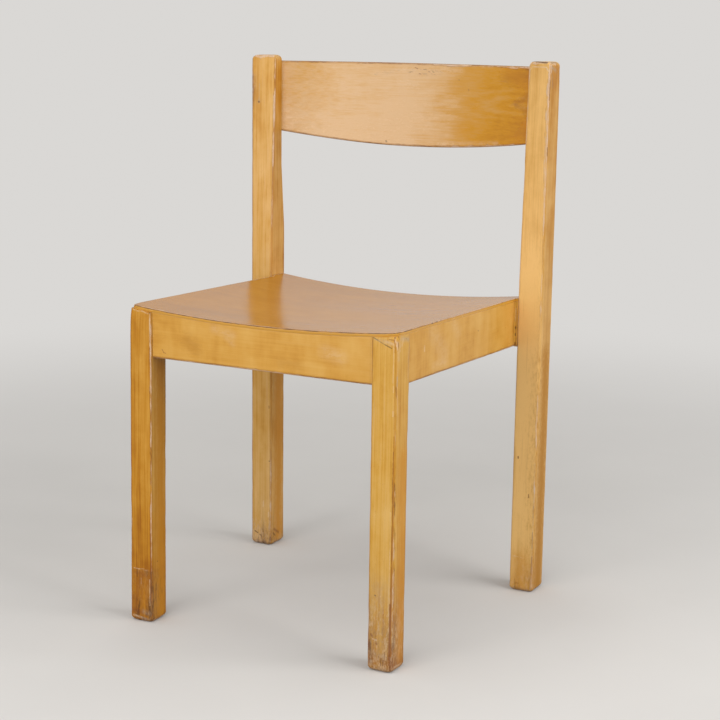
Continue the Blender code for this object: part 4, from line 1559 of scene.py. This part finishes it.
SCREW_INPUTS = {
    "Facets": 25,
    "Head Radius": 0.004,
    "Dome": 0.00035,
    "Shank Radius": 0.002,
    "Cone": 0.0025,
    "Length": 0.018,
    "Slot Width": 0.0009,
    "Slot Depth": 0.0010,
    "Material": steel,
}


def screw_tree(inputs):
    """A slotted screw, turned from its profile, cut once and set on every point."""
    tree, given, keys = geometry_tree("slotted_screws", inputs)
    head, shank, dome = given["Head Radius"], given["Shank Radius"], given["Dome"]
    cone, length = given["Cone"], given["Length"]
    profile = (
        (0.0, dome),
        (head * 0.45, dome * 0.8),
        (head * 0.8, dome * 0.36),
        (head * 0.97, dome * 0.02),
        (head, dome * -0.6),
        (shank, cone * -1.0),
        (shank, length * -0.85),
        (0.0, length * -1.0),
    )
    grid, u, v = flat_grid(tree, given["Facets"], len(profile))
    turn = (u + 1.0) * pi
    step = counted(v, len(profile))
    number = node(tree, "FunctionNodeFloatToInt", {0: step}, rounding_mode="ROUND").outputs[0]
    picks = []
    for axis in (0, 1):
        pick = node(tree, "GeometryNodeIndexSwitch", data_type="FLOAT")
        while len(pick.index_switch_items) < len(profile):
            pick.index_switch_items.new()
        feed(tree, pick.inputs["Index"], number)
        for i, point in enumerate(profile):
            feed(tree, pick.inputs[str(i)], point[axis])
        picks.append(Reading(tree, pick.outputs[0]))
    radius, z = picks
    on_skin = spot_at(
        tree, radius * calc(tree, "COSINE", turn), radius * calc(tree, "SINE", turn), z
    )

    def step_of(kind, inputs, **settings):
        return node(tree, kind, inputs, **settings).outputs[0]

    skin = step_of("GeometryNodeSetPosition", {"Geometry": grid, "Position": on_skin})
    closed = step_of("GeometryNodeMergeByDistance", {"Geometry": skin, "Distance": 0.00001})
    slot_size = spot_at(tree, head * 3.0, given["Slot Width"], given["Slot Depth"] * 2.0)
    slot_bar = step_of("GeometryNodeMeshCube", {"Size": slot_size})
    slotted = node(tree, "GeometryNodeMeshBoolean", operation="DIFFERENCE")
    tree.links.new(closed, slotted.inputs["Mesh 1"])
    tree.links.new(slot_bar, slotted.inputs["Mesh 2"])
    facing, slot_turn = (
        step_of("GeometryNodeInputNamedAttribute", {"Name": name}, data_type=kind)
        for name, kind in (("facing", "FLOAT_VECTOR"), ("slot_turn", "FLOAT"))
    )
    aligned = step_of("FunctionNodeAlignRotationToVector", {"Vector": facing}, axis="Z")
    turned = step_of(
        "FunctionNodeAxisAngleToRotation", {"Axis": (0.0, 0.0, 1.0), "Angle": slot_turn}
    )
    rotation = step_of(
        "FunctionNodeRotateRotation",
        {"Rotation": aligned, "Rotate By": turned},
        rotation_space="LOCAL",
    )
    screws = step_of(
        "GeometryNodeInstanceOnPoints",
        {"Points": given["Geometry"], "Instance": slotted.outputs[0], "Rotation": rotation},
    )
    finish_tree(tree, screws, given["Material"])
    return tree, keys


screw_places = []
for side, hand in ((1, "right"), (-1, "left")):
    screw_places += [
        (f"front_{hand}_block_screw_1", (side * 0.1497, -0.183, 0.4105), (0, 1, 0), 25),
        (f"front_{hand}_block_screw_2", (side * 0.1693, -0.1634, 0.4105), (-side, 0, 0), 70),
        (f"back_{hand}_block_screw_1", (side * 0.1517, 0.1466, 0.4025), (0, -1, 0), 25),
        (f"back_{hand}_block_screw_2", (side * 0.1673, 0.131, 0.4025), (-side, 0, 0), 70),
    ]
    for number, z in enumerate(BACK_SCREW_HEIGHTS, 1):
        at = (side * BACK_SCREW_X, BACK_SCREW_Y, z)
        screw_places.append((f"backrest_{hand}_screw_{number}", at, (0, 1, 0), 35 * number * side))
points = bpy.data.meshes.new("screw_points")
points.from_pydata([place for _, place, _, _ in screw_places], [], [])
facings = points.attributes.new("facing", "FLOAT_VECTOR", "POINT")
facings.data.foreach_set("vector", [float(c) for _, _, way, _ in screw_places for c in way])
turns = points.attributes.new("slot_turn", "FLOAT", "POINT")
turns.data.foreach_set("value", [radians(turn) for _, _, _, turn in screw_places])
screw_mesh = grown("screws", screw_tree, SCREW_INPUTS, points)
show("screws", screw_mesh, steel, "screw_steel", *[name for name, _, _, _ in screw_places])


# Corner blocks and dowels. Plain beech blocks glued and screwed into the corners of the
# frame, left as they came from the saw, and the dowels of the eight joints.
bare, tree, shader, place = new_finish("bare_beech")
cloud = pattern(tree, place, 14, 14, "Z", 3.0, 0.6, 60.0)
fibre = pattern(tree, place, 30, 420, "Z", 3.0, 0.6, 61.0)
sawn = pattern(tree, place, 9, 700, "X", 2.0, 0.5, 62.0)
amount = 0.5 + (cloud - 0.5) * 1.2 + (fibre - 0.5) * 0.8 + (sawn - 0.5) * 0.3
sawn_wood = mixed(tree, amount.at_least(0.0).at_most(1.0), (0.46, 0.29, 0.15), (0.68, 0.49, 0.30))
feed(tree, shader.inputs["Base Color"], sawn_wood)
feed(tree, shader.inputs["Roughness"], 0.72 + (fibre - 0.5) * 0.2)
roughen(tree, shader, fibre + sawn, 0.5, 0.0003)
for name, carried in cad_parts.items():
    if name.endswith("corner_block") or name.startswith("dowel"):
        for slot in carried.material_slots:
            slot.material = bare
